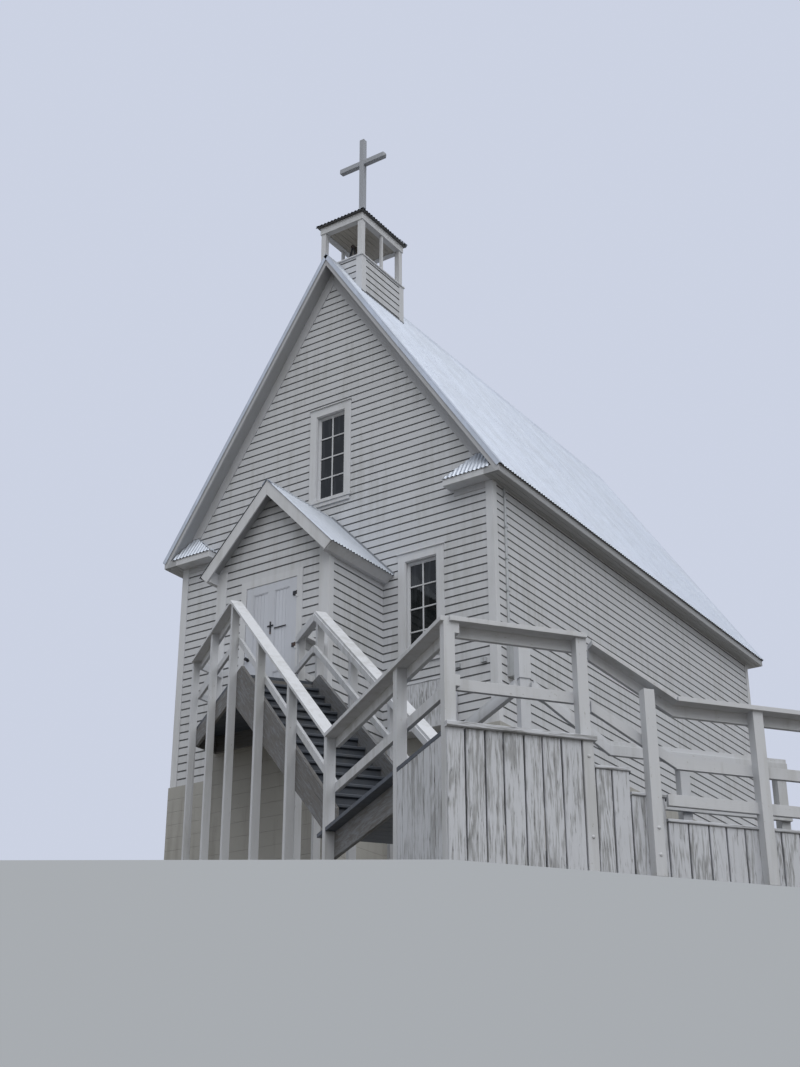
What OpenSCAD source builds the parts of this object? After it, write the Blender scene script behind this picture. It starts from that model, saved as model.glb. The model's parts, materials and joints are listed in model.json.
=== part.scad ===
// Small timber chapel with a gabled entry, a belfry and its hillside stair.
// Millimetres, +Z up. X runs along the front from left to right, Y runs into
// the building from the plane of the front wall, and Z is zero at the lowest
// ground that the building and its stair stand on.

/* [Site] */
// Height of the church floor above the lowest ground
floor_z = 3950; // [3600:50:5000]
// Height of the lower deck above the lowest ground
deck_z = 1000; // [800:50:1250]

/* [Nave] */
// Width of the nave over its side walls
nave_w = 5600; // [4700:100:6800]
// Length of the nave over its end walls
nave_l = 9000; // [6000:100:12000]
// Height of the main roof's edge above the floor
eave_h = 3430; // [3300:10:4200]
// Rise of the main roof for each unit of run
roof_pitch = 1.516; // [1.2:0.01:1.7]
// Overhang of the main roof past the side walls
eave_over = 280; // [200:10:400]
// Overhang of the main roof past the end walls, without the rake board
rake_over = 200; // [120:10:300]
// Thickness of the main roof, square to its slope
roof_t = 110; // [80:5:150]
// Thickness of the nave walls
wall_t = 140; // [110:5:200]
// Thickness of the floor structure
floor_t = 150; // [100:10:200]
// Depth of the boxed eave below the roof edge
eave_box_h = 70; // [50:5:100]

/* [Foundation] */
// Thickness of the foundation walls
found_t = 240; // [220:10:320]
// Distance that the foundation stands proud of the wall faces
found_proud = 40; // [20:5:60]

/* [Trim boards] */
// Thickness of every trim board
trim_t = 25; // [18:1:32]
// Width of a corner board on a front face
corner_w = 95; // [80:5:140]
// Width of a corner board on a side face
corner_side_w = 80; // [60:5:120]
// Width of the raking frieze boards, square to the slope
frieze_w = 150; // [110:5:180]
// Height of the short friezes under the cornice returns
return_frieze_h = 95; // [70:5:120]
// Length of a cornice return along the front, from the side wall face
return_l = 670; // [500:10:800]
// Rise of the small roof on a cornice return
return_rise = 215; // [150:5:260]
// Height of the front edge of a cornice return
return_edge_h = 105; // [80:5:140]

/* [Windows] */
// Width of the glass in a window
glass_w = 445; // [380:5:600]
// Height of the glass in a window
glass_h = 1360; // [1000:10:1500]
// Width of the sash members round the glass
sash_w = 42; // [35:1:55]
// Thickness of a sash
sash_t = 40; // [30:1:50]
// Width of a window casing
casing_w = 118; // [90:2:140]
// Height of a window sill board
sill_h = 55; // [40:5:70]
// Height of the glass above the floor in the lower windows
low_glass_h = 1060; // [800:10:1150]
// Clear distance from the entry's eave to a lower window's casing
win_gap = 92; // [40:2:200]
// Height from the entry's ridge to the upper window's glass
upper_gap = 365; // [320:5:500]

/* [Entry] */
// Width of the entry over its side walls
vest_w = 1930; // [1650:10:2320]
// Projection of the entry from the front wall
vest_d = 1280; // [1050:10:1600]
// Height of the entry roof's edge above the floor
vest_eave_h = 2310; // [2250:10:2500]
// Rise of the entry roof for each unit of run
vest_pitch = 1.067; // [0.9:0.01:1.2]
// Overhang of the entry roof past its side walls
vest_eave_over = 180; // [120:5:240]
// Overhang of the entry roof past its front wall, without the bargeboard
vest_front_over = 185; // [120:5:240]
// Thickness of the entry roof, square to its slope
vest_roof_t = 70; // [50:5:90]
// Thickness of the entry walls
vest_wall_t = 110; // [90:5:140]
// Depth of a bargeboard, square to the slope
barge_w = 155; // [130:5:180]
// Width of a corner board of the entry on its front face
vest_corner_w = 150; // [110:5:180]

/* [Front door] */
// Width of the door leaf
door_w = 870; // [760:10:1000]
// Height of the door leaf
door_h = 2010; // [1950:5:2060]
// Thickness of the door leaf
door_t = 44; // [38:1:50]
// Clearance round the door leaf
door_gap = 6; // [5:1:9]
// Width of the door casing
door_casing_w = 95; // [80:5:120]
// Width of the inner doorway
inner_door_w = 900; // [800:10:1000]
// Height of the inner doorway
inner_door_h = 2050; // [2000:10:2100]

/* [Belfry] */
// Width of the belfry base along the front
belfry_w = 820; // [740:10:980]
// Depth of the belfry base along the ridge
belfry_d = 1160; // [1000:10:1400]
// Distance of the belfry behind the front wall
belfry_y = 180; // [100:10:600]
// Height of the belfry base above the ridge
belfry_rise = 100; // [80:5:160]
// Height of the open bell chamber from cap rail to beam
chamber_h = 680; // [640:10:840]
// Size of a belfry corner post
post_s = 89; // [75:1:100]
// Size of the slim middle posts of the belfry
mid_post_s = 45; // [38:1:60]
// Depth of the beams over the belfry posts
beam_h = 130; // [100:5:160]
// Overhang of the belfry roof past the beams
belfry_over = 40; // [20:5:80]
// Rise of the belfry roof
belfry_roof_rise = 480; // [300:10:520]
// Height of the cross over the belfry roof
cross_h = 1570; // [1200:10:1800]
// Width of the cross over its arms
cross_w = 950; // [700:10:1100]
// Size of the cross timbers
cross_s = 89; // [75:1:100]
// Distance from the top of the cross to the middle of its arms
cross_arm_drop = 520; // [400:10:600]
// Radius of the bell at its mouth
bell_r = 190; // [150:5:205]

/* [Entry stair] */
// Drop from the church floor to the landing
threshold_h = 20; // [10:5:60]
// Angle of the stair to the front wall
stair_turn = 37; // [30:1:45]
// Distance of the stair's top corner to the right of the door's middle
stair_x = 1560; // [1500:10:1900]
// Distance of the stair's top corner in front of the front wall
stair_y = 2240; // [2150:10:2600]
// Distance between the middles of the two railings of the stair
stair_w = 1090; // [900:10:1320]
// Number of risers in the entry stair
risers = 16; // [15:1:18]
// Depth of a tread from riser to riser
going = 266; // [240:2:300]
// Length of the lower deck beyond the foot of the handrails
deck_l = 3060; // [2600:20:3600]
// Rise of each side step
side_riser = 180; // [150:5:190]
// Depth of a tread of the side steps
side_going = 290; // [260:5:320]
// Distance between the posts of the side walk
walk_bay = 940; // [800:20:1200]
// Thickness of treads and deck boards
tread_t = 38; // [30:1:45]
// Width of the stringers and rim boards
stringer_h = 235; // [190:5:290]

/* [Railings] */
// Height of the handrails above the landing and the side walk
rail_h = 940; // [880:5:1050]
// Height of the railing above the lower deck
deck_rail_h = 875; // [820:5:1050]
// Size of a railing post
rail_post = 89; // [75:1:100]
// Height of the tall post at the deck's inner corner
tall_post_h = 1280; // [1100:20:1500]
// Thickness of the railing boards
rail_board_t = 38; // [30:1:45]
// Width of the flat cap boards
cap_w = 140; // [110:5:160]
// Width of the upright railing boards
rail_board_h = 89; // [80:1:120]
// Distance from the top of a railing to the top of its middle board
mid_drop = 457; // [380:1:520]

/* [Fittings] */
// Width of the planter box
planter_w = 830; // [600:10:900]
// Height of the planter box
planter_h = 640; // [450:10:700]
// Depth of the planter box
planter_d = 300; // [220:10:360]
// Height of the electric panel
panel_h = 560; // [400:10:700]

/* [Hidden] */

eps = 1;
// Fine joint between a sloped or turned face and what meets it
seat_gap = 0.2;
paint = "whitesmoke";
weathered = "gainsboro";
metal = "lightsteelblue";
concrete = "darkgray";
stair_blue = "slategray";

half_w = nave_w / 2;
eave_x = half_w + eave_over;
eave_z = floor_z + eave_h;
ridge_z = eave_z + roof_pitch * eave_x;
roof_tv = roof_t * sqrt(1 + roof_pitch * roof_pitch);
soffit_z = eave_z - eave_box_h;
wall_z = floor_z - floor_t;
plate_z = soffit_z;
rake_y = rake_over + trim_t;

vest_half = vest_w / 2;
vest_eave_x = vest_half + vest_eave_over;
vest_eave_z = floor_z + vest_eave_h;
vest_ridge_z = vest_eave_z + vest_pitch * vest_eave_x;
vest_slope = sqrt(1 + vest_pitch * vest_pitch);
vest_roof_tv = vest_roof_t * vest_slope;

sash_open_w = glass_w + 2 * sash_w;
sash_open_h = glass_h + 2 * sash_w;
low_win_x = vest_eave_x + win_gap + casing_w + sash_open_w / 2;
low_win_z = floor_z + low_glass_h - sash_w;
up_win_z = vest_ridge_z + upper_gap - sash_w;

door_open_w = door_w + 2 * door_gap;
door_open_h = door_h + 2 * door_gap;
leaf_inset = 7;
leaf_y = -vest_d - trim_t + leaf_inset;
barrel_r = 7;
pin_r = 4;
hinge_y = -vest_d - trim_t - barrel_r - 1;
hinge_levels = [for (h = [1710, 960, 230]) floor_z + h];

belfry_top_z = ridge_z + belfry_rise;
beam_z = belfry_top_z + chamber_h;
belfry_roof_z = beam_z + beam_h;
belfry_mid_y = belfry_y + belfry_d / 2;
cross_foot_z = belfry_roof_z + belfry_roof_rise;
bell_drop = 290;
bell_pivot_z = belfry_top_z + bell_r + bell_drop;

// The stair is laid out by u down the flight and v across it, from its top right corner
landing_z = floor_z - threshold_h;
riser = (landing_z - deck_z) / risers;
stair_run = (risers - 1) * going;
foot_u = risers * going;
foot_post_u = foot_u - rail_post / 2 - eps;
deck_u = foot_u + deck_l;
left_v = -stair_w;
post_half = rail_post / 2;
side_u = deck_u - stair_w - post_half;
side_steps = 2;
walk_post_back = 125;
landing_left_inset = 65;
landing_right_inset = 95;
walk_z = deck_z - (side_steps + 1) * side_riser;
walk_v = post_half + side_steps * side_going;
walk_post_v = walk_v - walk_post_back;
walk_end_v = walk_post_v + 2 * walk_bay + post_half;
walk_post_u = deck_u + trim_t + post_half;
landing_cap_z = landing_z + rail_h;
deck_cap_z = deck_z + deck_rail_h;
walk_cap_z = walk_z + rail_h;
rail_slope = (landing_cap_z - deck_cap_z) / foot_u;

// Heights of the top and the underside of the main roof at a distance from the ridge
function roof_top(x) = ridge_z - roof_pitch * abs(x);
function roof_under(x) = roof_top(x) - roof_tv;
// Height to which walls and boards reach under it
function wall_top(x) = roof_under(x) - seat_gap;
// Distance from the ridge at which walls and boards under the main roof reach a height
function under_x(z) = (wall_top(0) - z) / roof_pitch;
// The same for the roof of the entry
function vest_top(x) = vest_ridge_z - vest_pitch * abs(x);
function vest_under(x) = vest_top(x) - vest_roof_tv;
function vest_wall_top(x) = vest_under(x) - seat_gap;

// A box given by its low and high corners
module span(low, high) {
    translate(low) cube(high - low);
}

// An outline in X and Z, drawn through a thickness from y0 to y1
module upright(y0, y1) {
    translate([0, y1, 0]) rotate([90, 0, 0]) linear_extrude(y1 - y0) children();
}

// An outline in Y and Z, drawn through a thickness from x0 to x1
module sideways(x0, x1) {
    translate([x0, 0, 0]) rotate([90, 0, 90]) linear_extrude(x1 - x0) children();
}

// The shape and its mirror image across the middle plane
module both_sides() {
    children();
    mirror([1, 0, 0]) children();
}

// The shape at the front and its mirror image at the back of the nave
module both_ends() {
    children();
    translate([0, nave_l, 0]) mirror([0, 1, 0]) children();
}

module foundation() {
    inner = found_t - found_proud;
    ledge = 60;
    vest_in = vest_wall_t + ledge;
    color(concrete) {
        difference() {
            span([-half_w - found_proud, -found_proud, 0],
                [half_w + found_proud, nave_l + found_proud, wall_z]);
            span([-half_w + inner, inner, -eps], [half_w - inner, nave_l - inner, wall_z + eps]);
        }
        difference() {
            span([-vest_half - found_proud, -vest_d - found_proud, 0],
                [vest_half + found_proud, -found_proud, wall_z]);
            span([-vest_half + vest_in, -vest_d + vest_in, -eps],
                [vest_half - vest_in, eps - found_proud, wall_z + eps]);
        }
    }
}

// Floor of the nave, carried on through the inner doorway to the front door
module chapel_floor() {
    entry_x = vest_half - vest_wall_t;
    color("burlywood") {
        span([-half_w + wall_t, wall_t, wall_z], [half_w - wall_t, nave_l - wall_t, floor_z]);
        span([-inner_door_w / 2, -eps, wall_z], [inner_door_w / 2, wall_t + eps, floor_z]);
        span([-entry_x, -vest_d + vest_wall_t, wall_z], [entry_x, 0, floor_z]);
        span([-door_open_w / 2, -vest_d, wall_z],
            [door_open_w / 2, -vest_d + vest_wall_t + eps, floor_z]);
    }
}

// Hole through a wall for one window, with its lower edge at z
module window_hole(x, z) {
    translate([x - sash_open_w / 2, -eps, z])
        cube([sash_open_w, wall_t + 2 * eps, sash_open_h]);
}

// Part of the front wall beside the inner doorway, up to the wall plate
module front_wall_side() {
    difference() {
        span([inner_door_w / 2, 0, wall_z], [half_w, wall_t, plate_z]);
        window_hole(low_win_x, low_win_z);
    }
}

module front_wall_left() {
    color(paint) mirror([1, 0, 0]) front_wall_side();
}

module front_wall_right() {
    color(paint) front_wall_side();
}

module front_gable_wall() {
    door_x = inner_door_w / 2;
    door_top = floor_z + inner_door_h;
    color(paint) difference() {
        upright(0, wall_t) polygon([[-door_x, door_top], [door_x, door_top], [door_x, plate_z],
            [half_w, plate_z], [half_w, wall_top(half_w)], [0, wall_top(0)],
            [-half_w, wall_top(half_w)], [-half_w, plate_z], [-door_x, plate_z]]);
        window_hole(0, up_win_z);
    }
}

module side_wall() {
    inner_x = half_w - wall_t;
    upright(wall_t, nave_l - wall_t) polygon([[inner_x, wall_z], [half_w, wall_z],
        [half_w, wall_top(half_w)], [inner_x, wall_top(inner_x)]]);
}

module left_wall() {
    color(paint) mirror([1, 0, 0]) side_wall();
}

module right_wall() {
    color(paint) side_wall();
}

module back_wall() {
    color(paint) upright(nave_l - wall_t, nave_l) polygon([[-half_w, wall_z], [half_w, wall_z],
        [half_w, wall_top(half_w)], [0, wall_top(0)], [-half_w, wall_top(half_w)]]);
}

// One slope of the main roof with its boxed eave
module nave_roof_side() {
    upright(-rake_over, nave_l + rake_over) polygon([[0, ridge_z], [eave_x, eave_z],
        [eave_x, soffit_z], [half_w, soffit_z], [half_w, roof_under(half_w)],
        [0, roof_under(0)]]);
}

module nave_roof_left() {
    color(metal) mirror([1, 0, 0]) nave_roof_side();
}

module nave_roof_right() {
    color(metal) nave_roof_side();
}

// Bent sheet over the ridge, cut away where the belfry stands
module ridge_cap() {
    wing = 150;
    sheet = 6;
    wing_z = roof_top(wing) + seat_gap;
    top_z = ridge_z + seat_gap;
    color(metal) for (run = [[-rake_y, belfry_y], [belfry_y + belfry_d, nave_l + rake_y]])
        upright(run[0], run[1]) polygon([[0, top_z], [wing, wing_z], [wing, wing_z + sheet],
            [0, top_z + sheet], [-wing, wing_z + sheet], [-wing, wing_z]]);
}

// Rake boards over the roof's end, raking friezes under it and short level ones under the
// cornice returns. Boards that meet at the ridge leave a fine joint.
module gable_boards() {
    joint = 1;
    drop = frieze_w * sqrt(1 + roof_pitch * roof_pitch);
    cut_z = soffit_z + return_edge_h + return_rise;
    low_z = soffit_z - return_frieze_h;
    inset = 60;
    color(paint) both_ends() both_sides() {
        upright(-rake_y, -rake_over) polygon([[joint, roof_top(joint)], [eave_x, eave_z],
            [eave_x, soffit_z], [half_w, soffit_z], [half_w, roof_under(half_w)],
            [joint, roof_under(joint)]]);
        upright(-trim_t, 0) polygon([[joint, wall_top(joint)], [under_x(cut_z), cut_z],
            [under_x(cut_z + drop), cut_z], [joint, wall_top(joint) - drop]]);
        span([half_w - return_l + inset, -trim_t, low_z], [half_w - corner_w, 0, soffit_z]);
    }
}

// Two boards that wrap the corner at [x, y], on the side of +X and -Y
module corner_pair(x, y, front_w, side_w, z0, z1) {
    span([x - front_w, y - trim_t, z0], [x + trim_t, y, z1]);
    span([x, y - eps, z0], [x + trim_t, y + side_w, z1]);
}

module corner_boards() {
    vest_top_z = vest_wall_top(vest_half + trim_t);
    color(paint) {
        both_ends() both_sides()
            corner_pair(half_w, 0, corner_w, corner_side_w, wall_z, soffit_z);
        both_sides()
            corner_pair(vest_half, -vest_d, vest_corner_w, corner_side_w, wall_z, vest_top_z);
    }
}

// Boxed return of the eave across the foot of the gable, with a small hipped roof
module cornice_return() {
    inner_x = half_w - return_l;
    edge_z = soffit_z + return_edge_h;
    top_z = edge_z + return_rise;
    intersection() {
        upright(-rake_y, 0) polygon([[inner_x, soffit_z], [half_w, soffit_z],
            [half_w, min(top_z, wall_top(half_w))], [min(half_w, under_x(top_z)), top_z],
            [inner_x + return_rise, top_z], [inner_x, edge_z]]);
        sideways(inner_x, eave_x) polygon([[-rake_y, soffit_z], [0, soffit_z], [0, top_z],
            [-rake_y, edge_z]]);
    }
}

module cornice_returns() {
    color(paint) both_ends() both_sides() cornice_return();
}

// Casing, sill and sash of one window, with its sash opening's lower edge at z
module window_frame(x, z) {
    half = sash_open_w / 2;
    outer = half + casing_w;
    head = casing_w + 8;
    sill_end = 20;
    sill_out = 30;
    sash_y = 35;
    lip = 12;
    translate([x, 0, z]) {
        difference() {
            span([-outer, -trim_t, 0], [outer, 0, sash_open_h + head]);
            span([-half, -trim_t - eps, -eps], [half, eps, sash_open_h]);
        }
        span([-outer - sill_end, -trim_t - sill_out, -sill_h], [outer + sill_end, 0, 0]);
        difference() {
            span([-half, -lip, 0], [half, sash_y + sash_t, sash_open_h]);
            span([-half + lip, -lip - eps, lip], [half - lip, sash_y, sash_open_h - lip]);
            span([-half + sash_w, -lip - eps, sash_w],
                [half - sash_w, sash_y + sash_t + eps, sash_open_h - sash_w]);
        }
    }
}

module window_frames() {
    color("ghostwhite") {
        window_frame(low_win_x, low_win_z);
        window_frame(-low_win_x, low_win_z);
        window_frame(0, up_win_z);
    }
}

// One pane sheet seated in its sash
module glass_pane(x, z) {
    pane_t = 6;
    pane_y = 52;
    translate([x - glass_w / 2, pane_y, z + sash_w]) cube([glass_w, pane_t, glass_h]);
}

module window_glass() {
    color("darkslategray") {
        glass_pane(low_win_x, low_win_z);
        glass_pane(-low_win_x, low_win_z);
        glass_pane(0, up_win_z);
    }
}

// Side wall of the entry, cut to the slope of its roof
module entry_side() {
    inner_x = vest_half - vest_wall_t;
    upright(-vest_d + vest_wall_t, 0) polygon([[inner_x, wall_z], [vest_half, wall_z],
        [vest_half, vest_wall_top(vest_half)], [inner_x, vest_wall_top(inner_x)]]);
}

module entry_wall_left() {
    color(paint) mirror([1, 0, 0]) entry_side();
}

module entry_wall_right() {
    color(paint) entry_side();
}

// Front wall of the entry beside the door
module entry_front_side() {
    span([door_open_w / 2, -vest_d, wall_z],
        [vest_half, -vest_d + vest_wall_t, floor_z + door_open_h]);
}

module entry_front_left() {
    color(paint) mirror([1, 0, 0]) entry_front_side();
}

module entry_front_right() {
    color(paint) entry_front_side();
}

module entry_gable_wall() {
    head_z = floor_z + door_open_h;
    color(paint) upright(-vest_d, -vest_d + vest_wall_t) polygon([[-vest_half, head_z],
        [vest_half, head_z], [vest_half, vest_wall_top(vest_half)], [0, vest_wall_top(0)],
        [-vest_half, vest_wall_top(vest_half)]]);
}

// One slope of the entry roof, cut square at the eave
module entry_roof_side() {
    cut = vest_roof_t / vest_slope;
    upright(-vest_d - vest_front_over, 0) polygon([[0, vest_ridge_z], [vest_eave_x, vest_eave_z],
        [vest_eave_x - cut * vest_pitch, vest_eave_z - cut], [0, vest_under(0)]]);
}

module entry_roof_left() {
    color(metal) mirror([1, 0, 0]) entry_roof_side();
}

module entry_roof_right() {
    color(metal) entry_roof_side();
}

module entry_bargeboards() {
    joint = 1;
    drop = barge_w * vest_slope;
    cut = barge_w / vest_slope;
    front = -vest_d - vest_front_over;
    color(paint) both_sides() upright(front - trim_t, front) polygon([
        [joint, vest_top(joint)], [vest_eave_x, vest_eave_z],
        [vest_eave_x - cut * vest_pitch, vest_eave_z - cut], [joint, vest_top(joint) - drop]]);
}

// Casing and stops of the front door, with the fixed halves of its hinges
module door_frame() {
    half = door_open_w / 2;
    stop_w = 20;
    head_z = floor_z + door_open_h;
    stop_y = leaf_y + door_t + door_gap;
    wall_back = -vest_d + vest_wall_t;
    plate = [36, 3, 120];
    knuckle = 30;
    color(paint) {
        difference() {
            span([-half - door_casing_w, -vest_d - trim_t, floor_z],
                [half + door_casing_w, -vest_d, head_z + door_casing_w + 10]);
            span([-half, -vest_d - trim_t - eps, floor_z - eps], [half, eps - vest_d, head_z]);
        }
        difference() {
            span([-half, stop_y, floor_z], [half, wall_back, head_z]);
            span([-half + stop_w, stop_y - eps, floor_z - eps],
                [half - stop_w, wall_back + eps, head_z - stop_w]);
        }
    }
    color("dimgray") for (z = hinge_levels) {
        translate([half + barrel_r + 2, -vest_d - trim_t - plate[1], z]) cube(plate);
        translate([half, hinge_y, z]) cylinder(h = plate[2], r = pin_r, $fn = 32);
        for (end = [z, z + plate[2] - knuckle]) translate([half, hinge_y, end]) {
            cylinder(h = knuckle, r = barrel_r, $fn = 32);
            translate([0, 2, 0]) cube([barrel_r + 4, barrel_r - 1, knuckle]);
        }
    }
}

// Panelled leaf, hinged at its right edge and opening outward
module front_door() {
    left = -door_w / 2;
    low = floor_z + door_gap;
    stile = 120;
    lock_z = low + 700;
    recess = 14;
    panel_w = (door_w - 3 * stile) / 2;
    rows = [[low + 220, lock_z], [lock_z + 130, low + door_h - stile]];
    color("white") difference() {
        span([left, leaf_y, low], [left + door_w, leaf_y + door_t, low + door_h]);
        for (x = [left + stile, left + 2 * stile + panel_w], row = rows,
                face = [leaf_y - eps, leaf_y + door_t - recess])
            span([x, face, row[0]], [x + panel_w, face + recess + eps, row[1]]);
    }
}

// Knob, moving halves of the hinges and the small cross on the door
module door_fittings() {
    left = -door_w / 2;
    half = door_open_w / 2;
    knob_z = floor_z + 960;
    mark_z = floor_z + 1350;
    mark_t = 12;
    barrel = [31, 89];
    strap_w = 62;
    color("dimgray") {
        translate([left + 60, leaf_y, knob_z]) rotate([90, 0, 0]) {
            cylinder(h = 6, r = 28, $fn = 48);
            cylinder(h = 40, r = 9, $fn = 32);
            translate([0, 0, 34]) cylinder(h = 26, r = 24, $fn = 48);
        }
        for (z = hinge_levels) difference() {
            union() {
                span([half - strap_w, hinge_y + 1, z + barrel[0]],
                    [half, hinge_y + barrel_r - 1, z + barrel[1]]);
                span([half - strap_w, hinge_y + 1, z + barrel[0]],
                    [half - 16, leaf_y, z + barrel[1]]);
                translate([half, hinge_y, z + barrel[0]])
                    cylinder(h = barrel[1] - barrel[0], r = barrel_r, $fn = 32);
            }
            translate([half, hinge_y, z + barrel[0] - eps])
                cylinder(h = barrel[1] - barrel[0] + 2 * eps, r = pin_r + 0.05, $fn = 32);
        }
        span([-9, leaf_y - mark_t, mark_z - 90], [9, leaf_y, mark_z + 90]);
        span([-50, leaf_y - mark_t, mark_z + 20], [50, leaf_y, mark_z + 38]);
    }
}

// Boarded box astride the ridge, with a deck for the bell and a thin cap rail
module belfry_base() {
    half = belfry_w / 2;
    skin = 60;
    deck_t = 40;
    cap_t = 28;
    cap_out = 18;
    low_z = roof_top(half) - eps;
    low_seat = roof_top(half + skin) + seat_gap;
    back = belfry_y + belfry_d;
    color(paint) difference() {
        union() {
            span([-half, belfry_y, low_z], [half, back, belfry_top_z - cap_t + eps]);
            span([-half - cap_out, belfry_y - cap_out, belfry_top_z - cap_t],
                [half + cap_out, back + cap_out, belfry_top_z]);
        }
        span([-half + skin, belfry_y + skin, low_z - eps],
            [half - skin, back - skin, belfry_top_z - deck_t]);
        upright(belfry_y - 2 * cap_out, back + 2 * cap_out) polygon([[0, ridge_z + seat_gap],
            [half + skin, low_seat], [half + skin, low_z - 2 * skin * roof_pitch],
            [-half - skin, low_z - 2 * skin * roof_pitch], [-half - skin, low_seat]]);
    }
}

module belfry_posts() {
    half = belfry_w / 2;
    back = belfry_y + belfry_d;
    color(paint) both_sides() {
        for (y = [belfry_y, back - post_s])
            span([half - post_s, y, belfry_top_z], [half, y + post_s, beam_z]);
        span([half - mid_post_s, belfry_mid_y - mid_post_s / 2, belfry_top_z],
            [half, belfry_mid_y + mid_post_s / 2, beam_z]);
    }
}

// Ring of beams that the belfry posts carry, with the boarded ceiling inside it
module belfry_beams() {
    half = belfry_w / 2;
    back = belfry_y + belfry_d;
    out = 14;
    ceiling = [beam_z + 20, beam_z + 40];
    color(paint) {
        difference() {
            span([-half - out, belfry_y - out, beam_z], [half + out, back + out, belfry_roof_z]);
            span([-half + post_s, belfry_y + post_s, beam_z - eps],
                [half - post_s, back - post_s, belfry_roof_z + eps]);
        }
        span([-half + post_s - eps, belfry_y + post_s - eps, ceiling[0]],
            [half - post_s + eps, back - post_s + eps, ceiling[1]]);
    }
}

// Low hipped roof with a small flat seat for the cross
module belfry_roof() {
    edge = 22;
    out = belfry_over + 14;
    half = belfry_w / 2 + out;
    seat = cross_s / 2 + 4;
    color(metal) hull() {
        span([-half, belfry_y - out, belfry_roof_z],
            [half, belfry_y + belfry_d + out, belfry_roof_z + edge]);
        span([-seat, belfry_mid_y - seat, cross_foot_z - edge],
            [seat, belfry_mid_y + seat, cross_foot_z]);
    }
}

// A squared timber from the origin along +Z, with a low pyramid end
module pointed_timber(length, side) {
    point = side * 0.3;
    linear_extrude(length - point) square(side, center = true);
    translate([0, 0, length - point]) linear_extrude(point, scale = 0.35)
        square(side, center = true);
}

module roof_cross() {
    arm_z = cross_foot_z + cross_h - cross_arm_drop;
    color(paint) translate([0, belfry_mid_y, 0]) {
        translate([0, 0, cross_foot_z]) pointed_timber(cross_h, cross_s);
        for (turn = [90, -90])
            translate([0, 0, arm_z]) rotate([0, turn, 0]) pointed_timber(cross_w / 2, cross_s);
    }
}

// Two iron stands before and behind the bell
module bell_stands() {
    reach = 230;
    leg = 26;
    spread = 150;
    boss = 30;
    bore_r = 12.1;
    rise = bell_pivot_z - belfry_top_z;
    color("dimgray") for (side = [-1, 1]) {
        y = belfry_mid_y + side * (reach + 30);
        difference() {
            union() {
                upright(y - leg / 2, y + leg / 2) polygon([[-spread, belfry_top_z],
                    [-spread + 34, belfry_top_z], [0, belfry_top_z + rise - 30],
                    [spread - 34, belfry_top_z], [spread, belfry_top_z],
                    [14, belfry_top_z + rise], [-14, belfry_top_z + rise]]);
                translate([0, y + leg / 2, bell_pivot_z]) rotate([90, 0, 0])
                    cylinder(h = leg, r = boss, $fn = 48);
                span([-spread, y - leg / 2, belfry_top_z],
                    [spread, y + leg / 2, belfry_top_z + 18]);
            }
            translate([0, y + leg, bell_pivot_z]) rotate([90, 0, 0])
                cylinder(h = 2 * leg, r = bore_r, $fn = 48);
        }
    }
}

// Cast bell with its yoke, pins and clapper
module bell() {
    reach = 230;
    wall = 12;
    crown_z = -70;
    h = 300;
    r = bell_r;
    color("dimgray") translate([0, belfry_mid_y, bell_pivot_z]) {
        rotate_extrude($fn = 96) polygon([[0, crown_z], [r * 0.45, crown_z - 10],
            [r * 0.55, crown_z - 50], [r * 0.62, crown_z - 150], [r * 0.78, crown_z - 230],
            [r, crown_z - h], [r - wall, crown_z - h], [r * 0.78 - wall, crown_z - 232],
            [r * 0.62 - wall, crown_z - 150], [r * 0.55 - wall, crown_z - 55],
            [r * 0.4 - wall, crown_z - 24], [0, crown_z - 20]]);
        span([-22, -reach + 12, -34], [22, reach - 12, 26]);
        span([-30, -30, crown_z - 5], [30, 30, -30]);
        translate([0, reach + 46, 0]) rotate([90, 0, 0])
            cylinder(h = 2 * reach + 92, r = 12, $fn = 48);
        translate([0, 0, crown_z - 210]) cylinder(h = 200, r = 9, $fn = 24);
        translate([0, 0, crown_z - 225]) sphere(r = 26, $fn = 32);
    }
}

// The children are placed by u down the stair and v across it
module on_stair() {
    translate([stair_x, -stair_y, 0]) rotate([0, 0, -stair_turn]) children();
}

// Plan point of the stair's u and v
function on_plan(u, v) = [stair_x + u * cos(stair_turn) + v * sin(stair_turn),
    -stair_y - u * sin(stair_turn) + v * cos(stair_turn)];

// Board on edge along X from x0 to x1, falling by the slope, with its top at z = 0 over x = 0
module sloped_board(x0, x1, y0, y1, top, depth, slope) {
    upright(y0, y1) polygon([[x0, top - slope * x0], [x1, top - slope * x1],
        [x1, top - slope * x1 - depth], [x0, top - slope * x0 - depth]]);
}

// Railing along X in the plane of y = 0. Its cap's top is at z = 0 over x = 0 and falls by
// the slope, and starts at cap_x. The upright boards are on the side of y that side names.
module rail_span(length, slope, side, cap_x = 0) {
    y0 = side > 0 ? post_half : -post_half - rail_board_t;
    sloped_board(cap_x, length, -cap_w / 2, cap_w / 2, 0, rail_board_t, slope);
    for (top = [-rail_board_t, -mid_drop])
        sloped_board(0, length, y0, y0 + rail_board_t, top, rail_board_h, slope);
}

// Post that reaches from z = foot up to the underside of a rail_span's cap
module rail_post_under(x, slope, foot) {
    upright(-post_half, post_half) polygon([[x - post_half, foot], [x + post_half, foot],
        [x + post_half, -rail_board_t - slope * (x + post_half)],
        [x - post_half, -rail_board_t - slope * (x - post_half)]]);
}

// Distance along the stair's u at which the line of v meets a place across the front
function u_at_x(x, v) = (x - stair_x - v * sin(stair_turn)) / cos(stair_turn);

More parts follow.
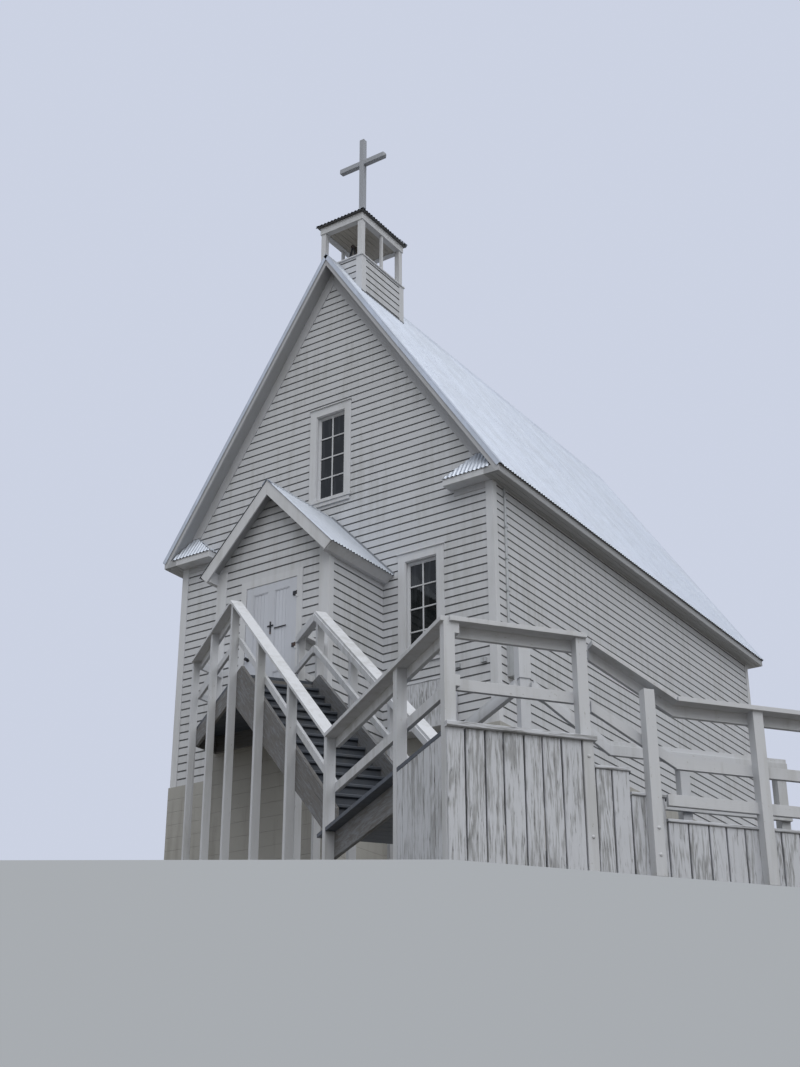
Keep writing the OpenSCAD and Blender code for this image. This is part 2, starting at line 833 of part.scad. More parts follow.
// The landing lies inside the posts of its railings
landing_left_x = -vest_half + landing_left_inset;
landing_right_x = vest_half - landing_right_inset;
landing_run = -u_at_x(landing_right_x, 0);
landing_left_run = -u_at_x(landing_left_x, left_v);
landing_back_y = -vest_d - found_proud;
function landing_outline(inset) = let (back = landing_back_y - inset + post_half,
        front_u = post_half - inset, left = left_v + inset,
        right_x = landing_right_x - inset * (cos(stair_turn) + sin(stair_turn)))
    [[landing_left_x + inset, back], [right_x, back], on_plan(u_at_x(right_x, -inset), -inset),
    on_plan(front_u, -inset), on_plan(front_u, left),
    on_plan(u_at_x(landing_left_x + inset, left), left)];

// Boards of the landing on their rim
module door_landing() {
    board_z = landing_z - tread_t;
    edge = post_half + seat_gap;
    color(stair_blue) translate([0, 0, board_z]) linear_extrude(tread_t)
        polygon(landing_outline(edge));
    color(weathered) translate([0, 0, board_z - stringer_h]) linear_extrude(stringer_h + eps)
        difference() {
            polygon(landing_outline(edge));
            polygon(landing_outline(edge + rail_board_t));
        }
}

// Level railings round the landing, whose posts stand on the ground, and their short
// returns to the entry
module landing_rails() {
    wall_y = -vest_d - trim_t - seat_gap;
    color(paint) {
        on_stair() translate([0, 0, landing_cap_z]) {
            translate([-landing_run, 0, 0]) {
                rail_span(landing_run - post_half, 0, -1);
                rail_post_under(0, 0, -landing_cap_z);
            }
            translate([-landing_left_run, left_v, 0]) {
                rail_span(landing_left_run - post_half, 0, 1);
                for (x = [0, landing_left_run / 2]) rail_post_under(x, 0, -landing_cap_z);
            }
        }
        for (end = [[on_plan(-landing_run, 0), 1], [on_plan(-landing_left_run, left_v), -1]])
            translate([end[0][0], end[0][1], landing_cap_z]) rotate([0, 0, 90])
                rail_span(wall_y - end[0][1], 0, end[1]);
    }
}

// Entry flight of closed risers between two cut stringers. The landing's rim is its top riser.
module entry_stair() {
    nose = 25;
    riser_t = 20;
    left = left_v + post_half;
    inner = [left + rail_board_t, -post_half - rail_board_t];
    foot = risers * riser;
    cut = stringer_h + riser;
    color(stair_blue) on_stair() translate([0, 0, landing_z]) {
        for (i = [1:risers - 1])
            span([(i - 1) * going, inner[0], -i * riser - tread_t],
                [i * going + nose, inner[1], -i * riser]);
        for (i = [1:risers - 1])
            span([i * going - riser_t, inner[0], -(i + 1) * riser - tread_t],
                [i * going, inner[1], -i * riser - tread_t + eps]);
    }
    color(weathered) on_stair() translate([0, 0, landing_z])
        for (v = [left, inner[1]]) upright(v, v + rail_board_t)
            polygon([[0, 0], [going, 0], [stair_run + going, -foot + riser],
                [stair_run + going, -foot], [stair_run, -foot], [0, -cut]]);
}

// Both handrails of the flight, on posts that stand on the ground
module stair_rails() {
    color(paint) on_stair() for (line = [[left_v, 1], [0, -1]])
        translate([0, line[0], landing_cap_z]) {
            rail_span(foot_u, rail_slope, line[1]);
            for (k = [0:3]) rail_post_under(k * foot_post_u / 3, rail_slope, -landing_cap_z);
        }
}

// Level deck at the foot of the flight, with its rim boards
module lower_deck() {
    under = deck_z - tread_t;
    color(stair_blue) on_stair() difference() {
        span([stair_run, left_v - post_half, under], [deck_u, post_half, deck_z]);
        for (u = [foot_post_u, side_u, deck_u - post_half], v = [left_v, 0])
            span([u - post_half, v - post_half, under - eps],
                [u + post_half, v + post_half, deck_z + eps]);
    }
    color(weathered) on_stair() for (v = [left_v + post_half, -post_half - rail_board_t])
        span([stair_run, v, under - stringer_h], [deck_u - rail_post, v + rail_board_t, under]);
}

// Boarded skirts: one on the deck's left side, and one along its end and the side walk,
// whose top steps down with the treads
module deck_skirt() {
    left = left_v - post_half;
    under = deck_z - tread_t;
    cap_t = 38;
    cap_out = 32;
    color(weathered) on_stair() {
        span([side_u + post_half, left, 0], [deck_u - rail_post, left + trim_t, under]);
        translate([deck_u, 0, 0]) rotate([90, 0, 90]) linear_extrude(trim_t)
            polygon([[left, 0], [walk_end_v, 0], [walk_end_v, walk_z],
                for (i = [side_steps:-1:0]) each [[post_half + i * side_going,
                    deck_z - (i + 1) * side_riser], [post_half + i * side_going,
                    deck_z - i * side_riser]],
                [left, deck_z]]);
        span([deck_u, left - 5, deck_z], [deck_u + trim_t + cap_out, post_half + 20,
            deck_z + cap_t]);
    }
}

// Railings round the lower deck, on posts that stand on the ground
module deck_rails() {
    color(paint) on_stair() {
        translate([foot_u, left_v, deck_cap_z]) {
            rail_span(deck_u - foot_u, 0, 1);
            for (u = [side_u, deck_u - post_half]) rail_post_under(u - foot_u, 0, -deck_cap_z);
        }
        translate([foot_u, 0, deck_cap_z]) rail_span(side_u - foot_u, 0, -1);
        translate([deck_u - post_half, left_v, deck_cap_z]) rotate([0, 0, 90]) {
            rail_span(stair_w + post_half, 0, 1);
            rail_post_under(stair_w, 0, -deck_cap_z);
        }
        translate([side_u, 0, 0]) tall_post();
    }
}

// Post at the deck's inner corner, boxed above the rails, with a low point on its cap and a
// flared foot on the deck boards
module tall_post() {
    top = deck_z + tall_post_h;
    box_half = post_half + 9;
    cap_half = box_half + 12;
    cap_t = 20;
    point = 18;
    reach = post_half + 50;
    flare_h = 60;
    span([-post_half, -post_half, 0], [post_half, post_half, top - cap_t]);
    span([-box_half, -box_half, deck_cap_z + eps], [box_half, box_half, top - cap_t]);
    translate([0, 0, top - cap_t]) {
        linear_extrude(cap_t) square(2 * cap_half, center = true);
        translate([0, 0, cap_t]) linear_extrude(point, scale = 0.3)
            square(2 * box_half, center = true);
    }
    intersection() {
        translate([0, 0, deck_z]) linear_extrude(flare_h, scale = post_half / reach)
            square(2 * reach, center = true);
        span([-reach, -reach, deck_z], [reach, post_half - eps, deck_z + flare_h]);
    }
}

// Side steps and the low walk that they lead to, behind the end skirt
module side_walk() {
    inner_u = side_u + post_half;
    tread_u = inner_u + rail_board_t;
    riser_t = 20;
    under = walk_z - tread_t;
    color(stair_blue) on_stair() {
        for (i = [1:side_steps]) {
            v = post_half + (i - 1) * side_going;
            top = deck_z - i * side_riser;
            span([inner_u, v, top - tread_t], [deck_u, v + side_going + riser_t, top]);
        }
        for (i = [0:side_steps]) {
            v = post_half + i * side_going;
            top = deck_z - i * side_riser;
            span([tread_u, v - riser_t, top - side_riser - tread_t],
                [i == 0 ? deck_u - rail_post : deck_u, v, top - tread_t]);
        }
        span([inner_u, walk_v - riser_t, under], [deck_u, walk_end_v, walk_z]);
    }
    color(weathered) on_stair() {
        span([inner_u, post_half, 0], [tread_u, walk_end_v, under]);
        span([inner_u, walk_end_v - trim_t, 0], [deck_u, walk_end_v, under]);
    }
}

// Railings down the side steps and along the walk, with a low third board on its open side
module walk_rails() {
    level_at = 110;
    bend_v = walk_v + level_at;
    drop = deck_cap_z - walk_cap_z;
    near = [walk_post_u, bend_v] - [deck_u - post_half, 0];
    near_run = norm(near);
    walk_run = walk_end_v - bend_v;
    low_top = 180;
    color(paint) on_stair() {
        translate([deck_u - post_half, 0, deck_cap_z]) rotate([0, 0, atan2(near[1], near[0])])
            translate([rail_post, 0, -drop * rail_post / near_run])
            rail_span(near_run - rail_post, drop / near_run, 1);
        translate([side_u, post_half, deck_cap_z]) rotate([0, 0, 90])
            rail_span(bend_v - post_half, drop / (bend_v - post_half), -1,
                (cap_w - rail_post) / 2);
        for (u = [walk_post_u, side_u]) translate([u, bend_v, walk_cap_z]) rotate([0, 0, 90]) {
            rail_span(walk_run, 0, u == side_u ? -1 : 1);
            for (k = [1, 2])
                rail_post_under(walk_post_v + k * walk_bay - bend_v, 0, -walk_cap_z);
        }
        for (u = [walk_post_u, side_u]) span([u - post_half, walk_post_v - post_half, 0],
            [u + post_half, walk_post_v + post_half, walk_cap_z + 40]);
        span([deck_u + trim_t, walk_v, walk_z + low_top - rail_board_h],
            [deck_u + trim_t + rail_board_t, walk_end_v, walk_z + low_top]);
    }
}

// Meter box and conduit on the right wall, and two small outlet boxes on the front wall
module wall_fittings() {
    box_y = [240, 400];
    box_z = floor_z + 540;
    box_d = 110;
    pipe_r = 21;
    pipe_y = 300;
    outlet = [80, 60, 60];
    outlet_z = floor_z + 700;
    color("silver") {
        span([half_w, box_y[0], box_z], [half_w + box_d, box_y[1], box_z + panel_h]);
        translate([half_w + pipe_r, pipe_y, box_z + panel_h - eps])
            cylinder(h = soffit_z - box_z - panel_h + eps, r = pipe_r, $fn = 32);
    }
    color("white") for (inset = [590, 180])
        translate([half_w - inset - outlet[0] / 2, -outlet[1], outlet_z]) cube(outlet);
}

// Open box of upright boards against the front wall
module planter_box() {
    x0 = low_win_x - casing_w - glass_w / 3;
    board = 25;
    soil_depth = 220;
    top = wall_z + planter_h;
    color(weathered) difference() {
        span([x0, -planter_d, wall_z], [x0 + planter_w, 0, top]);
        span([x0 + board, -planter_d + board, top - soil_depth],
            [x0 + planter_w - board, -board, top + eps]);
    }
}

foundation();
chapel_floor();
front_wall_left();
front_wall_right();
front_gable_wall();
left_wall();
right_wall();
back_wall();
nave_roof_left();
nave_roof_right();
ridge_cap();
gable_boards();
corner_boards();
cornice_returns();
window_frames();
window_glass();
entry_wall_left();
entry_wall_right();
entry_front_left();
entry_front_right();
entry_gable_wall();
entry_roof_left();
entry_roof_right();
entry_bargeboards();
door_frame();
front_door();
door_fittings();
belfry_base();
belfry_posts();
belfry_beams();
belfry_roof();
roof_cross();
bell_stands();
bell();
door_landing();
landing_rails();
entry_stair();
stair_rails();
lower_deck();
deck_skirt();
deck_rails();
side_walk();
walk_rails();
wall_fittings();
planter_box();
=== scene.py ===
"""Finish of a small hillside chapel: siding, roofs, boards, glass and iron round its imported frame.

Metres, +Z up. X runs along the front from left to right, Y runs into the building from the
plane of the front wall, and Z is zero at the lowest ground that the building stands on.
"""

import json
import logging
import math
import random
from dataclasses import dataclass, field
from enum import Enum
from typing import Any, Callable, Iterable, Sequence

import bmesh
import bpy
import numpy as np
from mathutils import Matrix, Vector


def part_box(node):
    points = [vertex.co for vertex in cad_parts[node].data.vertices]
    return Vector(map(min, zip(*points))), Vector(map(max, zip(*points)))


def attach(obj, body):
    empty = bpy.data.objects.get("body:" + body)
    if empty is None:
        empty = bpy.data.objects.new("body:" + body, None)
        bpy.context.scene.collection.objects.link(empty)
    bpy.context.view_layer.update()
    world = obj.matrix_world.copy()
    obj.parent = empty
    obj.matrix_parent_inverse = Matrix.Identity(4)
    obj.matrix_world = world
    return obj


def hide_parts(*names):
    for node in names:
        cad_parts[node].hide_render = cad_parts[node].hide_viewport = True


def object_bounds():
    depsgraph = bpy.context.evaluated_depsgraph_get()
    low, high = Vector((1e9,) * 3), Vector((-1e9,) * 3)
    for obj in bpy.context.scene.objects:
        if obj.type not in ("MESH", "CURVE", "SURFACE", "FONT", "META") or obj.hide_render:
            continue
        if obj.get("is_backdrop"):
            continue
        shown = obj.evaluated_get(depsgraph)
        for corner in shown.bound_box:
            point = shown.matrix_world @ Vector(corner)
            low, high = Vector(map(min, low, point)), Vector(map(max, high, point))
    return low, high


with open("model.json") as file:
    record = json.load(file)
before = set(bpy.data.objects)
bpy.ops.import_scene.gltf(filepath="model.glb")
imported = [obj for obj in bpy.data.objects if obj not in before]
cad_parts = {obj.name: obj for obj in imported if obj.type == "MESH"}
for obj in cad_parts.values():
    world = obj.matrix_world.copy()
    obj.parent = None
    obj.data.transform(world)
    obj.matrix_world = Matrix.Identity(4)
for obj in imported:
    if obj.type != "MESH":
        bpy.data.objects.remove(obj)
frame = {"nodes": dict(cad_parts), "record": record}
CAD_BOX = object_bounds()

LOG = logging.getLogger("chapel")
X_WAY = Vector((1, 0, 0))
Y_WAY = Vector((0, 1, 0))
UP = Vector((0, 0, 1))
# Least gap that keeps two closed solids from sharing an edge
HAIR = 0.001
# How far sawn edges are eased
ARRIS = 0.003
# Painted shade under a lip: how dark the lap's shadow is painted
SHADOW = 0.8
# Thickness of bent metal strips
STRIP = 0.0015
Colour = tuple[float, float, float]
Point = tuple[float, float]
Spot = Vector | tuple[float, float, float]
Reach = Callable[[float], float]


def shade(colour: Colour, factor: float) -> Colour:
    """A colour made darker or lighter by a factor."""
    return tuple(part * factor for part in colour)


class Slot(Enum):
    """Material slots of the record."""

    SIDING = "white_siding"
    TRIM = "white_trim"
    RAILING = "railing_paint"
    WEATHERED = "weathered_boards"
    DOOR = "door_paint"
    STAIR = "stair_paint"
    FLOOR = "floor_boards"
    ROOF = "roof_metal"
    GLASS = "window_glass"
    IRON = "dark_iron"
    BELL = "bell_iron"
    CONCRETE = "concrete"
    SERVICE = "service_metal"


class Body(Enum):
    """Moving parts of the frame."""

    CHAPEL = "chapel"
    DOOR = "door"
    BELL = "bell"


class Field:
    """A value inside a material, on which sums and products add their own nodes."""

    def __init__(self, bench: "Bench", socket: bpy.types.NodeSocket) -> None:
        """Wraps one output socket of a bench's tree."""
        self.bench = bench
        self.socket = socket

    def __add__(self, other: "Value") -> "Field":
        """Sum."""
        return self.bench.math("ADD", self, other)

    def __radd__(self, other: "Value") -> "Field":
        """Sum with a number on the left."""
        return self.bench.math("ADD", other, self)

    def __sub__(self, other: "Value") -> "Field":
        """Difference."""
        return self.bench.math("SUBTRACT", self, other)

    def __rsub__(self, other: "Value") -> "Field":
        """Difference from a number on the left."""
        return self.bench.math("SUBTRACT", other, self)

    def __mul__(self, other: "Value") -> "Field":
        """Product."""
        return self.bench.math("MULTIPLY", self, other)

    def __rmul__(self, other: "Value") -> "Field":
        """Product with a number on the left."""
        return self.bench.math("MULTIPLY", other, self)

    def fraction(self) -> "Field":
        """What is left past the last whole number."""
        return self.bench.math("FRACT", self, 0.0)

    def size(self) -> "Field":
        """The value without its sign."""
        return self.bench.math("ABSOLUTE", self, 0.0)

    def rise(self, low: float, high: float) -> "Field":
        """A smooth step.

        Args:
            low: Value at which the step leaves 0.
            high: Value at which the step reaches 1.

        Returns:
            The step as a field from 0 to 1.
        """
        return self.bench.node("ShaderNodeMapRange", {"interpolation_type": "SMOOTHSTEP"},
                               {"Value": self, "From Min": low, "From Max": high})


Value = float | Field


class Bench:
    """The nodes of one material, world or other tree while it is made."""

    def __init__(self, tree: bpy.types.NodeTree) -> None:
        """Starts on an empty tree."""
        self.tree = tree
        tree.nodes.clear()

    def node(self, kind: str, settings: dict[str, Any], sockets: dict[Any, Any],
             output: int | str = 0) -> Field:
        """Adds one node.

        Args:
            kind: The node's type.
            settings: Its settings, set before its sockets.
            sockets: Values or links of its inputs, by name or number.
            output: Which output to hand back.

        Returns:
            The chosen output as a field.
        """
        made = self.tree.nodes.new(kind)
        for name, value in settings.items():
            setattr(made, name, value)
        for name, value in sockets.items():
            if isinstance(value, Field):
                self.tree.links.new(value.socket, made.inputs[name])
            elif isinstance(value, tuple) and len(value) == 3 and made.inputs[name].type == "RGBA":
                made.inputs[name].default_value = (*value, 1.0)
            else:
                made.inputs[name].default_value = value
        return Field(self, made.outputs[output]) if len(made.outputs) else None

    def math(self, operation: str, left: Value, right: Value) -> Field:
        """Adds one Math node."""
        return self.node("ShaderNodeMath", {"operation": operation}, {0: left, 1: right})

    def mix(self, factor: Value, first: Any, second: Any) -> Field:
        """Blends two colours by a factor from 0 to 1."""
        return self.node("ShaderNodeMix", {"data_type": "RGBA"},
                         {0: factor, 6: first, 7: second}, 2)

    def vector(self, operation: str, first: Any, second: Any) -> Field:
        """Adds one Vector Math node."""
        return self.node("ShaderNodeVectorMath", {"operation": operation}, {0: first, 1: second})

    def place(self) -> Field:
        """Where a point lies on the piece, in metres."""
        return self.node("ShaderNodeTexCoord", {}, {}, "Object")

    def part(self, vector: Field, axis: str) -> Field:
        """One part of a vector or a colour."""
        return self.node("ShaderNodeSeparateXYZ", {}, {0: vector}, axis)

    def stretched(self, at: Field, x: float, y: float, z: float) -> Field:
        """The place with each axis multiplied."""
        return self.vector("MULTIPLY", at, (x, y, z))

    def noise(self, at: Field, scale: float, detail: float = 2.0, rough: float = 0.5,
              swirl: float = 0.0) -> Field:
        """Soft random field, mostly from 0.3 to 0.7."""
        return self.node("ShaderNodeTexNoise", {}, {"Vector": at, "Scale": scale,
                         "Detail": detail, "Roughness": rough, "Distortion": swirl}, "Fac")

    def bump(self, height: Field, depth: float, strength: float = 1.0) -> Field:
        """Surface relief of a height field, in metres."""
        return self.node("ShaderNodeBump", {}, {"Height": height, "Distance": depth,
                         "Strength": strength}, "Normal")

    def mark(self, name: str) -> Field:
        """A number that the mesh carries on each face."""
        return self.node("ShaderNodeAttribute", {"attribute_name": name}, {}, "Fac")

    def cells(self, at: Field, scale: float, output: str = "Distance") -> Field:
        """Voronoi cells, by the distance from their middles or by another output."""
        return self.node("ShaderNodeTexVoronoi", {}, {"Vector": at, "Scale": scale}, output)

    def ray(self, kind: str) -> Field:
        """Whether the light path is of one kind."""
        return self.node("ShaderNodeLightPath", {}, {}, f"Is {kind} Ray")

    def along_grain(self, at: Field, squeeze: float, shift: Sequence[float]) -> Field:
        """The place with its run along the grain squeezed, so that marks stretch along boards.

        Args:
            at: The place.
            squeeze: Share of the run along the grain that is taken out.
            shift: How far a board's own tone moves it along each axis, so that boards differ.

        Returns:
            The place to look marks up at.
        """
        grain = self.node("ShaderNodeAttribute", {"attribute_name": "grain"}, {}, "Vector")
        run = self.node("ShaderNodeVectorMath", {"operation": "DOT_PRODUCT"},
                        {0: at, 1: grain}, "Value")
        back = self.node("ShaderNodeVectorMath", {"operation": "SCALE"},
                         {0: grain, "Scale": run * -squeeze})
        tone = self.mark("tone")
        own = self.node("ShaderNodeCombineXYZ", {},
                        {axis: tone * size for axis, size in enumerate(shift) if size})
        return self.vector("ADD", self.vector("ADD", at, back), own)

    def surface(self, sockets: dict[str, Any]) -> Field:
        """The shader of the piece."""
        return self.node("ShaderNodeBsdfPrincipled", {}, sockets)

    def output(self, shader: Field, kind: str = "ShaderNodeOutputMaterial") -> None:
        """Ends the tree."""
        self.node(kind, {}, {"Surface": shader})


@dataclass(frozen=True)
class Finish:
    """A material that a piece can wear."""

    name: str

    def paint(self, bench: Bench) -> Field:
        """Builds the nodes.

        Args:
            bench: Where they go.

        Returns:
            The shader.
        """
        raise NotImplementedError

    def material(self) -> bpy.types.Material:
        """Makes the finish's material once.

        Returns:
            The material.
        """
        found = bpy.data.materials.get(self.name)
        if found:
            return found
        made = bpy.data.materials.new(self.name)
        made.use_nodes = True
        bench = Bench(made.node_tree)
        bench.output(self.paint(bench))
        return made


@dataclass(frozen=True)
class PaintedWood(Finish):
    """Painted boards with brush marks along the grain, water streaks and rubbed spots."""

    colour: Colour = (0.60, 0.62, 0.655)
    grime: Colour = (0.30, 0.30, 0.28)
    bare: Colour = (0.27, 0.25, 0.22)
    # Near-black colour of the painted shade in the siding's coves and under its lips
    joint: Colour = (0.035, 0.037, 0.04)
    streaks: float = 0.22
    wear: float = 0.25
    relief: float = 0.0006
    roughness: float = 0.55

    def paint(self, bench: Bench) -> Field:
        """Builds the nodes.

        Args:
            bench: Where they go.

        Returns:
            The shader.
        """
        at = bench.place()
        tone = bench.mark("tone")
        fibres = bench.noise(bench.along_grain(at, 0.95, (9.0, 0.0, 0.0)), 75.0, 4.0, 0.6)
        clouds = bench.noise(at, 1.1, 4.0)
        runs = bench.noise(bench.stretched(at, 6.0, 6.0, 0.45), 1.6, 4.0, 0.6)
        specks = bench.noise(at, 34.0, 3.0, 0.65)
        dull = (clouds * 0.5 + runs * 0.6).rise(0.5, 0.72) * self.streaks
        rubbed = (specks * 0.6 + fibres * 0.5).rise(0.71 - 0.1 * self.wear, 0.75)
        fresh = bench.mix(tone * 0.5 + clouds * 0.3, shade(self.colour, 0.93),
                          shade(self.colour, 1.05))
        dusty = bench.mix(dull, fresh, self.grime)
        worn = bench.mix(rubbed * self.wear, dusty, self.bare)
        # Faces marked with painted shade, the siding's coves and lip undersides, are mixed towards
        # the near-black joint colour
        return bench.surface({
            "Base Color": bench.mix(bench.mark("painted_shade"), worn, self.joint),
            "Roughness": self.roughness + 0.12 * fibres + rubbed * (0.25 * self.wear),
            "Normal": bench.bump(fibres * 0.7 + clouds * 0.5 - rubbed * 0.6, self.relief)})


@dataclass(frozen=True)
class WeatheredPaint(Finish):
    """White paint that is wearing off boards, with the figure of the wood showing through."""

    colour: Colour = (0.58, 0.60, 0.65)
    wood: Colour = (0.235, 0.24, 0.25)
    dark: Colour = (0.045, 0.045, 0.047)
    cover: float = 0.68

    def paint(self, bench: Bench) -> Field:
        """Builds the nodes.

        Args:
            bench: Where they go.

        Returns:
            The shader.
        """
        at = bench.place()
        shifted = bench.along_grain(at, 0.91, (7.0, 3.0, 5.0))
        figure = bench.noise(shifted, 6.5, 2.0, 0.45, 0.35)
        rings = ((figure * 17.0).fraction() - 0.5).size() * 2.0
        fibres = bench.noise(shifted, 120.0, 3.0, 0.6)
        flakes = bench.noise(shifted, 42.0, 4.0, 0.6)
        knots = bench.cells(bench.stretched(shifted, 1.0, 1.0, 6.0), 3.4).rise(0.10, 0.06)
        clouds = bench.noise(at, 2.2, 4.0)
        cracks = (fibres * 0.8 + flakes * 0.3).rise(0.66, 0.74)
        patches = (flakes * 0.7 + fibres * 0.35 + rings * 0.16 + clouds * 0.3
                   + bench.mark("tone") * 0.12)
        kept = 0.3 * (self.cover - 0.5)
        thin = patches.rise(0.72 + kept, 0.95 + kept)
        wood = bench.mix(rings, self.wood, shade(self.wood, 1.35))
        painted = bench.mix(clouds, self.colour, shade(self.colour, 0.86))
        deep = bench.mix(cracks * 0.65, bench.mix(thin, painted, wood), self.dark)
        return bench.surface({
            "Base Color": bench.mix(knots * 0.7, deep, self.dark),
            "Roughness": 0.66 + 0.2 * thin,
            "Normal": bench.bump(rings * 0.25 + fibres * 0.6 - cracks, 0.0012)})


@dataclass(frozen=True)
class RoofSheet(Finish):
    """Galvanised sheet gone pale and matt, with its spangle and some runs."""

    colour: Colour = (0.56, 0.60, 0.66)
    dull: Colour = (0.36, 0.385, 0.42)
    # Near-black colour of the painted shade on the sheets' lower ends and undersides, and on the
    # dark flashings
    edge: Colour = (0.05, 0.05, 0.05)
    metallic: float = 0.72
    roughness: float = 0.36

    def paint(self, bench: Bench) -> Field:
        """Builds the nodes.

        Args:
            bench: Where they go.

        Returns:
            The shader.
        """
        at = bench.place()
        tone, dark = bench.mark("tone"), bench.mark("painted_shade")
        flake = bench.part(bench.cells(at, 62.0, "Color"), "X")
        clouds = bench.noise(at, 1.4, 5.0, 0.6)
        runs = bench.noise(bench.stretched(at, 7.0, 7.0, 0.7), 1.5, 4.0)
        aged = (clouds * 0.6 + runs * 0.5 + tone * 0.12).rise(0.52, 0.74)
        sheet = bench.mix(flake * 0.35 + tone * 0.3, self.colour, shade(self.colour, 1.14))
        # Faces marked with painted shade turn towards the near-black edge colour and lose metal and
        # gloss
        return bench.surface({
            "Base Color": bench.mix(dark, bench.mix(aged * 0.3, sheet, self.dull), self.edge),
            "Metallic": (self.metallic - 0.1 * aged) * (1.0 - dark),
            "Roughness": self.roughness + 0.1 * aged + flake * 0.08 + dark * 0.3,
            "Normal": bench.bump(clouds, 0.001, 0.3)})


@dataclass(frozen=True)
class Concrete(Finish):
    """Poured walls with the lines of their form boards, stains and a damp foot."""

    colour: Colour = (0.40, 0.395, 0.38)
    stain: Colour = (0.2, 0.19, 0.17)
    wet: Colour = (0.13, 0.12, 0.1)
    hollow: Colour = (0.1, 0.1, 0.095)
    chalk: Colour = (0.5, 0.5, 0.48)
    board: float = 0.19

    def paint(self, bench: Bench) -> Field:
        """Builds the nodes.

        Args:
            bench: Where they go.

        Returns:
            The shader.
        """
        at = bench.place()
        height = bench.part(at, "Z")
        joint = ((height * (1.0 / self.board)).fraction() - 0.5).size().rise(0.47, 0.5)
        clouds = bench.noise(at, 1.3, 6.0, 0.6)
        grit = bench.noise(at, 60.0, 5.0, 0.7)
        runs = bench.noise(bench.stretched(at, 5.0, 5.0, 0.5), 1.2, 4.0, 0.6)
        holes = bench.cells(at, 14.0).rise(0.09, 0.05)
        damp = (clouds * 0.8 - height * 0.5).rise(0.0, 0.5)
        base = bench.mix(clouds, self.colour, shade(self.colour, 0.72))
        for share, colour in ((runs.rise(0.52, 0.7) * 0.45, self.stain), (damp * 0.55, self.wet),
                              (joint * 0.35 + holes * 0.4, self.hollow),
                              (grit * 0.3, self.chalk)):
            base = bench.mix(share, base, colour)
        return bench.surface({
            "Base Color": base,
            "Roughness": 0.82 + 0.12 * grit,
            "Normal": bench.bump(grit * 0.25 + clouds * 0.5 - joint * 0.8 - holes * 0.6, 0.004)})


@dataclass(frozen=True)
class Pane(Finish):
    """Old window glass whose dark colour is painted shade of the unlit room and dim curtain folds
    behind it, with smears of dust.
    """

    # The base colour is painted shade, the dark of the unlit room behind the glass, and the second
    # colour is dim light painted on curtain folds
    colour: Colour = (0.006, 0.008, 0.009)
    lit_fold: Colour = (0.02, 0.023, 0.026)
    dust: Colour = (0.05, 0.055, 0.06)

    def paint(self, bench: Bench) -> Field:
        """Builds the nodes.

        Args:
            bench: Where they go.

        Returns:
            The shader.
        """
        at = bench.place()
        waves = bench.noise(at, 3.0, 1.0)
        folds = bench.noise(bench.stretched(at, 9.0, 1.0, 0.8), 1.4, 2.0)
        smears = bench.noise(at, 9.0, 5.0, 0.7).rise(0.5, 0.8)
        # Painted shade of the room behind the glass, with painted light on the curtain folds
        painted_room_shade = bench.mix(folds.rise(0.48, 0.6), self.colour, self.lit_fold)
        return bench.surface({
            "Base Color": bench.mix(smears * 0.3, painted_room_shade, self.dust),
            "Roughness": 0.05 + 0.12 * smears, "IOR": 1.42,
            "Normal": bench.bump(waves, 0.01, 0.35)})


@dataclass(frozen=True)
class Iron(Finish):
    """Dark iron with a skin of rust in patches."""

    colour: Colour = (0.035, 0.037, 0.04)
    rust: Colour = (0.12, 0.055, 0.028)
    rusted: float = 0.5
    metallic: float = 0.75

    def paint(self, bench: Bench) -> Field:
        """Builds the nodes.

        Args:
            bench: Where they go.

        Returns:
            The shader.
        """
        at = bench.place()
        patches = bench.noise(at, 7.0, 6.0, 0.65)
        pits = bench.noise(at, 90.0, 4.0, 0.7)
        skin = (patches * 0.7 + pits * 0.4).rise(0.62 - 0.14 * self.rusted, 0.72)
        return bench.surface({
            "Base Color": bench.mix(skin, self.colour,
                                    bench.mix(pits, self.rust, shade(self.rust, 1.9))),
            "Metallic": self.metallic * (1 - 0.9 * skin),
            "Roughness": 0.4 + 0.4 * skin,
            "Normal": bench.bump(patches * 0.4 + pits * 0.5, 0.0012)})


@dataclass(frozen=True)
class ServiceMetal(Finish):
    """Grey enamel of the meter box and its pipe, chalky with age."""

    colour: Colour = (0.34, 0.355, 0.37)
    stain: Colour = (0.17, 0.15, 0.13)

    def paint(self, bench: Bench) -> Field:
        """Builds the nodes.

        Args:
            bench: Where they go.

        Returns:
            The shader.
        """
        at = bench.place()
        chalk = bench.noise(at, 5.0, 5.0, 0.6)
        grains = bench.noise(at, 160.0, 3.0)
        runs = bench.noise(bench.stretched(at, 30.0, 30.0, 2.0), 1.0, 3.0)
        base = bench.mix(chalk, self.colour, shade(self.colour, 1.5))
        return bench.surface({
            "Base Color": bench.mix(runs.rise(0.55, 0.75) * 0.5, base, self.stain),
            "Metallic": 0.25, "Roughness": 0.42 + 0.25 * chalk,
            "Normal": bench.bump(grains, 0.0004)})


@dataclass(frozen=True)
class StudioFloor(Finish):
    """Plain pale floor that throws little light back, and can be open from below."""

    seen: Colour = (0.62, 0.63, 0.645)
    thrown: Colour = (0.15, 0.135, 0.11)
    open_below: bool = False

    def paint(self, bench: Bench) -> Field:
        """Builds the nodes.

        Args:
            bench: Where they go.

        Returns:
            The shader.
        """
        direct = bench.math("MAXIMUM", bench.ray("Camera"), bench.ray("Glossy"))
        colour = bench.mix(direct, self.thrown, self.seen)
        floor = bench.node("ShaderNodeBsdfDiffuse", {}, {"Color": colour})
        if not self.open_below:
            return floor
        below = bench.node("ShaderNodeNewGeometry", {}, {}, "Backfacing")
        clear = bench.node("ShaderNodeBsdfTransparent", {}, {})
        return bench.node("ShaderNodeMixShader", {}, {0: below, 1: floor, 2: clear})


